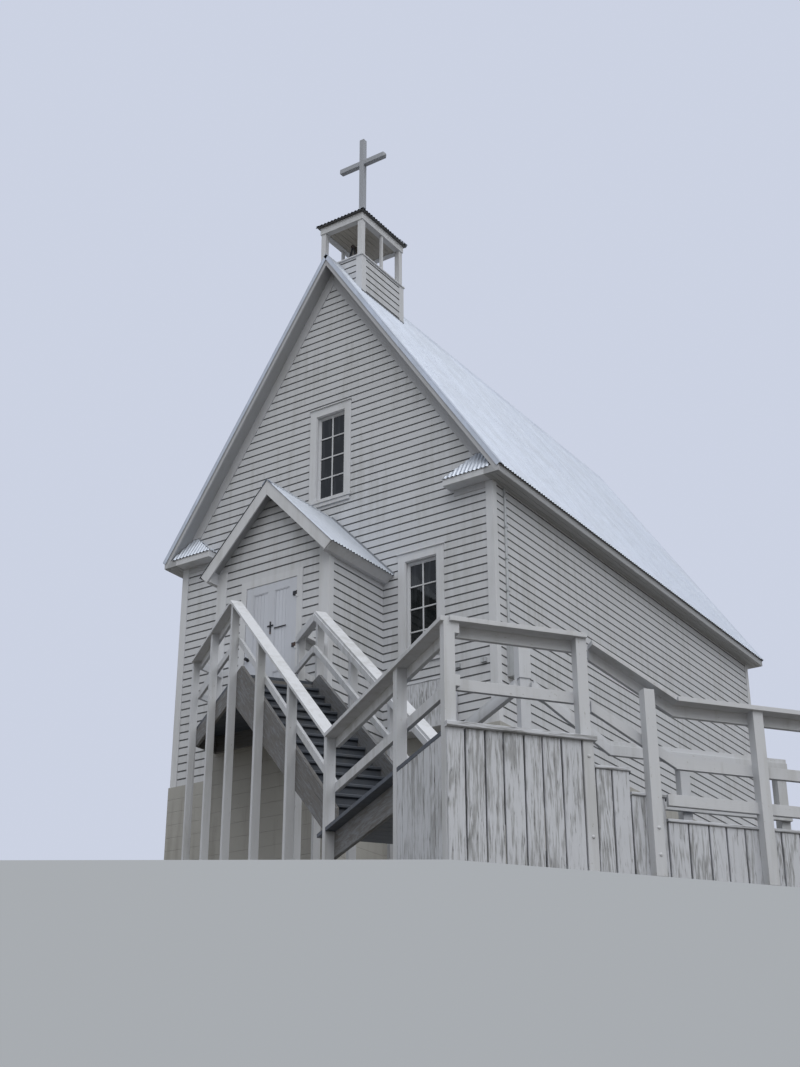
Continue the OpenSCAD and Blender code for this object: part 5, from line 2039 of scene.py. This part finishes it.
@dataclass
class DoorDetails:
    """Beaded panels, mouldings and the letter plate of the front door."""

    stile: float = 0.12
    panel: float = 0.255
    recess: float = 0.014
    beads: int = 4
    moulding: float = 0.014
    moulding_t: float = 0.011
    bead_t: float = 0.005
    foot_rail: float = 0.22
    lock: float = 0.70
    lock_rail: float = 0.13
    plate_x: float = 0.165
    plate_up: float = 0.63

    def build(self) -> None:
        """Makes the beads on both faces and the plate."""
        low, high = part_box("front_door")
        stock, plate = Stock(seed=71), Stock(seed=72)
        lock = low.z + self.lock
        rows = ((low.z + self.foot_rail, lock), (lock + self.lock_rail, high.z - self.stile))
        columns = (low.x + self.stile, low.x + 2 * self.stile + self.panel)
        for face, out in ((low.y, -1), (high.y, 1)):
            for x0 in columns:
                for z0, z1 in rows:
                    self._panel(stock, x0, z0, z1, face - out * self.recess, out)
        stock.piece("door_beads", Slot.DOOR, Body.DOOR)
        middle = Vector((self.plate_x, low.y - 0.002, lock + self.plate_up))
        for half, front, back, down, up in ((0.1, 0.004, 0.002, 0.008, 0.008),
                                            (0.09, 0.007, 0.001, 0.004, 0.005)):
            plate.block(middle - Vector((half, front, down)), middle + Vector((half, back, up)),
                        ARRIS / 2)
        plate.piece("door_letter_plate", Slot.IRON, Body.DOOR)

    def _panel(self, stock: Stock, x0: float, z0: float, z1: float, floor: float,
               out: int) -> None:
        """Fills one panel with beaded strips inside a small moulding.

        Args:
            stock: Where they go.
            x0: The panel's left edge.
            z0: Its foot.
            z1: Its head.
            floor: Place of its sunk face along Y.
            out: 1 or -1, for the way that it faces.
        """
        edge, x1, gap = self.moulding, x0 + self.panel, ARRIS / 2
        width = (self.panel - 2 * edge) / self.beads
        strips = [((x0 + edge + k * width + gap, x0 + edge + (k + 1) * width - gap),
                   (z0 + edge, z1 - edge), self.bead_t) for k in range(self.beads)]
        inside = (x0 + edge + HAIR / 2, x1 - edge - HAIR / 2)
        strips += [(x, z, self.moulding_t) for x, z in
                   (((x0, x0 + edge), (z0, z1)), ((x1 - edge, x1), (z0, z1)),
                    (inside, (z0, z0 + edge)), (inside, (z1 - edge, z1)))]
        for x, z, proud in strips:
            y = sorted((floor - out * HAIR, floor + out * proud))
            stock.block((x[0], y[0], z[0]), (x[1], y[1], z[1]), 2 * HAIR)


@dataclass
class SmallParts:
    """Belfry ceiling boards, planter boards, the meter box's cover and the pipe's straps."""

    site: Site
    ceiling: PaintedWood = PaintedWood("belfry_ceiling", colour=(0.36, 0.345, 0.32),
                                       grime=(0.2, 0.19, 0.17), wear=0.2)
    ceiling_boards: int = 7
    ceiling_edge: float = 0.09
    ceiling_up: float = 0.0155
    ceiling_t: float = 0.011
    planter_boards: int = 6
    planter_t: float = 0.012
    planter_gap: float = 0.004
    planter_cap: float = 0.045
    planter_cap_t: float = 0.02
    planter_lip: float = 0.02
    planter_back: float = 0.03
    meter_out: float = 0.11
    meter_y: Point = (0.24, 0.40)
    meter_up: float = 0.54
    meter_h: float = 0.56
    lip: float = 0.008
    latch_y: Point = (0.312, 0.328)
    straps: int = 5
    strap_pitch: float = 0.48
    strap_from: float = 0.2
    strap_h: float = 0.022
    strap_x: Point = (0.012, 0.046)
    strap_y: Point = (0.268, 0.332)

    def build(self) -> None:
        """Makes each of them."""
        self._ceiling()
        self._planter()
        self._services()

    def _ceiling(self) -> None:
        """Narrow boards under the belfry's ceiling."""
        low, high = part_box("belfry_posts")
        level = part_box("belfry_beams")[0].z + self.ceiling_up
        stock = Stock(seed=81)
        edge = self.ceiling_edge
        each = (high.x - low.x - 2 * edge) / self.ceiling_boards
        for k in range(self.ceiling_boards):
            x = low.x + edge + (k + 0.5) * each
            stock.board((x, low.y + edge, level), (x, high.y - edge, level), X_WAY,
                        each - 2 * HAIR, self.ceiling_t, 4 * HAIR)
        stock.piece("belfry_ceiling_boards", Slot.TRIM, finish=self.ceiling)

    def _planter(self) -> None:
        """Upright boards and a cap round the planter."""
        low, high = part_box("planter_box")
        stock = Stock(seed=82)
        thick, cap, lip = self.planter_t, self.planter_cap, self.planter_lip
        back = high.y - self.planter_back
        each = (high.x - low.x) / self.planter_boards
        boards = [(low.x + (k + 0.5) * each, low.y - thick / 2, X_WAY, each)
                  for k in range(self.planter_boards)]
        each = (back - low.y) / 2
        boards += [(x, low.y + (k + 0.5) * each, Y_WAY, each)
                   for x in (low.x - thick / 2, high.x + thick / 2) for k in range(2)]
        for x, y, side, width in boards:
            stock.board((x, y, low.z), (x, y, high.z), side, width - self.planter_gap, thick)
        left, right, front = low.x - lip, high.x + lip, low.y - lip
        top, cap_t = high.z + self.planter_cap_t / 2 + HAIR, self.planter_cap_t
        for y in (front + cap / 2, back - cap / 2):
            stock.board((left, y, top), (right, y, top), Y_WAY, cap, cap_t, 4 * HAIR)
        for x in (left + cap / 2, right - cap / 2):
            stock.board((x, front + HAIR / 2 + cap, top), (x, back - HAIR / 2 - cap, top), X_WAY,
                        cap, cap_t, 4 * HAIR)
        stock.piece("planter_boards", Slot.WEATHERED)

    def _services(self) -> None:
        """Cover, lip and latch of the meter box, and straps that hold its pipe."""
        wall, lip = self.site.half_w, self.lip
        stock = Stock(seed=83)
        x = wall + self.meter_out
        y0, y1 = self.meter_y
        z0 = self.site.floor_z + self.meter_up
        z1 = z0 + self.meter_h
        stock.block((x - HAIR, y0 + lip, z0 + 0.01), (x + 0.005, y1 - lip, z1 - 0.02), 2 * HAIR)
        stock.block((wall, y0 - lip, z1), (x + 0.014, y1 + lip, z1 + 0.006), 2 * HAIR)
        stock.block((x + 0.004, self.latch_y[0], z0 + 0.02),
                    (x + 0.014, self.latch_y[1], z0 + 0.06))
        for k in range(self.straps):
            z = z1 + self.strap_from + k * self.strap_pitch
            stock.block((wall + self.strap_x[0], self.strap_y[0], z),
                        (wall + self.strap_x[1], self.strap_y[1], z + self.strap_h))
        stock.piece("meter_cover", Slot.SERVICE)


@dataclass
class Studio:
    """Camera of the photograph, soft light, floor and pale background."""

    site: Site
    photo: tuple[int, int] = (800, 1067)
    focal_pixels: float = 1563.75
    eye: tuple[float, float, float] = (12.55, -16.82, -2.54)
    yaw: float = 33.87
    pitch: float = 24.97
    roll: float = -0.10
    sensor: float = 36.0
    sky: Colour = (0.60, 0.645, 0.765)
    light: Colour = (0.93, 0.965, 1.0)
    reach: float = 220.0
    floor_z: float = -0.002

    def build(self) -> None:
        """Makes everything round the chapel."""
        self._camera()
        self._world()
        self._lamps()
        self._floor()
        bpy.context.scene.view_settings.view_transform = "Standard"

    def _camera(self) -> None:
        """The camera, whose sensor lies along the picture's long side."""
        data = bpy.data.cameras.new("photo_camera")
        data.sensor_width = self.sensor
        data.lens = self.focal_pixels * self.sensor / max(self.photo)
        data.clip_start, data.clip_end = 0.1, 1000.0
        camera = bpy.data.objects.new("photo_camera", data)
        camera.location = self.eye
        camera.rotation_mode = "XYZ"
        turn = (Matrix.Rotation(math.radians(self.yaw), 4, "Z")
                @ Matrix.Rotation(math.radians(90 + self.pitch), 4, "X")
                @ Matrix.Rotation(math.radians(self.roll), 4, "Z"))
        camera.rotation_euler = turn.to_euler()
        bpy.context.scene.collection.objects.link(camera)
        bpy.context.scene.camera = camera

    def _world(self) -> None:
        """Even light from above, and a pale sky where the camera looks past the chapel."""
        world = bpy.data.worlds.new("overcast")
        world.use_nodes = True
        bpy.context.scene.world = world
        bench = Bench(world.node_tree)
        direct = bench.math("MAXIMUM", bench.ray("Camera"), bench.ray("Glossy"))
        seen = bench.math("MAXIMUM", direct, bench.ray("Transmission"))
        lit = bench.node("ShaderNodeBackground", {}, {"Color": self.light, "Strength": 0.68})
        shown = bench.node("ShaderNodeBackground", {}, {"Color": self.sky, "Strength": 1.0})
        both = bench.node("ShaderNodeMixShader", {}, {0: seen, 1: lit, 2: shown})
        bench.output(both, "ShaderNodeOutputWorld")

    def _lamps(self) -> None:
        """One broad soft lamp high on the right."""
        data = bpy.data.lights.new("soft_key", "SUN")
        data.energy = 1.75
        data.angle = math.radians(70)
        data.color = (1.0, 0.985, 0.96)
        lamp = bpy.data.objects.new("soft_key", data)
        lamp.rotation_euler = (math.radians(20), math.radians(27), 0.0)
        bpy.context.scene.collection.objects.link(lamp)

    def _floor(self) -> None:
        """A floor that is open from below before the stair, where the camera stands."""
        site = self.site
        heading = math.radians(self.yaw)
        side = Vector((math.cos(heading), math.sin(heading), 0))
        back = Vector((-side.y, side.x, 0))
        corner = site.on_stair(site.end_u + site.post + 0.006, site.left_v - 0.02, self.floor_z)
        right = corner + site.v * self.reach
        left = corner - side * self.reach
        far = [right + back * self.reach, left + back * self.reach]
        near = [left - back * self.reach, right - back * self.reach]
        for name, loop, below in (("floor_behind", [corner, right, *far, left], False),
                                  ("floor_before", [left, *near, right, corner], True)):
            mesh = bpy.data.meshes.new(name)
            mesh.from_pydata([tuple(at) for at in loop], [], [tuple(range(len(loop)))])
            mesh.materials.append(StudioFloor(name + "_paint", open_below=below).material())
            plane = bpy.data.objects.new(name, mesh)
            bpy.context.scene.collection.objects.link(plane)
            plane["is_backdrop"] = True


@dataclass
class Plain:
    """Nodes whose own shape is right: they get eased edges or a finish."""

    eased_nodes: dict[Slot, tuple[str, ...]] = field(default_factory=lambda: {
        Slot.TRIM: ("corner_boards", "cornice_returns", "window_frames",
                    "entry_bargeboards", "belfry_posts", "belfry_beams"),
        Slot.RAILING: ("landing_rails", "stair_rails", "deck_rails", "walk_rails"),
    })
    cross: PaintedWood = PaintedWood("cross_paint", colour=(0.34, 0.36, 0.40), streaks=0.1,
                                     wear=0.05, relief=0.0001)
    # Darker than the trim paint: painted shade under the roofs' overhangs
    soffit: PaintedWood = PaintedWood("soffit_painted_shade", colour=(0.36, 0.37, 0.39), wear=0.1)
    # Near black: painted shade of the belfry roof's overhang and edge
    edge: PaintedWood = PaintedWood("belfry_eave_painted_shade", colour=(0.06, 0.062, 0.066), wear=0.1)

    def build(self) -> None:
        """Dresses every node, then makes the eased copies."""
        slots = {part["node"]: part["material_slot"] for part in frame["record"]["subparts"]}
        for node in frame["nodes"]:
            # Roof nodes under the sheets wear the soffit's painted shade, and the belfry roof a
            # near-black painted shade
            finish = self.soffit if "_roof_" in node else FINISHES[Slot(slots[node])]
            dress(node, self.edge if node == "belfry_roof" else finish)
        for slot, nodes in self.eased_nodes.items():
            for node in nodes:
                eased(node, slot)
        eased("roof_cross", Slot.TRIM, 0.005, finish=self.cross)


def main() -> None:
    """Builds the chapel's finish in order."""
    logging.basicConfig(level=logging.INFO, format="%(name)s: %(message)s")
    site = Site()
    plain = Plain()
    plain.build()
    WallSiding(site).build()
    MainRoof(site).build()
    Cornice(site, plain.soffit).build()
    BelfryTrim(site).build()
    SmallRoofs(site).build()
    Windows(site).build()
    Skirts(site).build()
    Decking(site).build()
    DoorDetails().build()
    SmallParts(site).build()
    Studio(site).build()
    [[list(corner) for corner in box] for box in (CAD_BOX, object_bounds())]


if __name__ == "__main__":
    main()
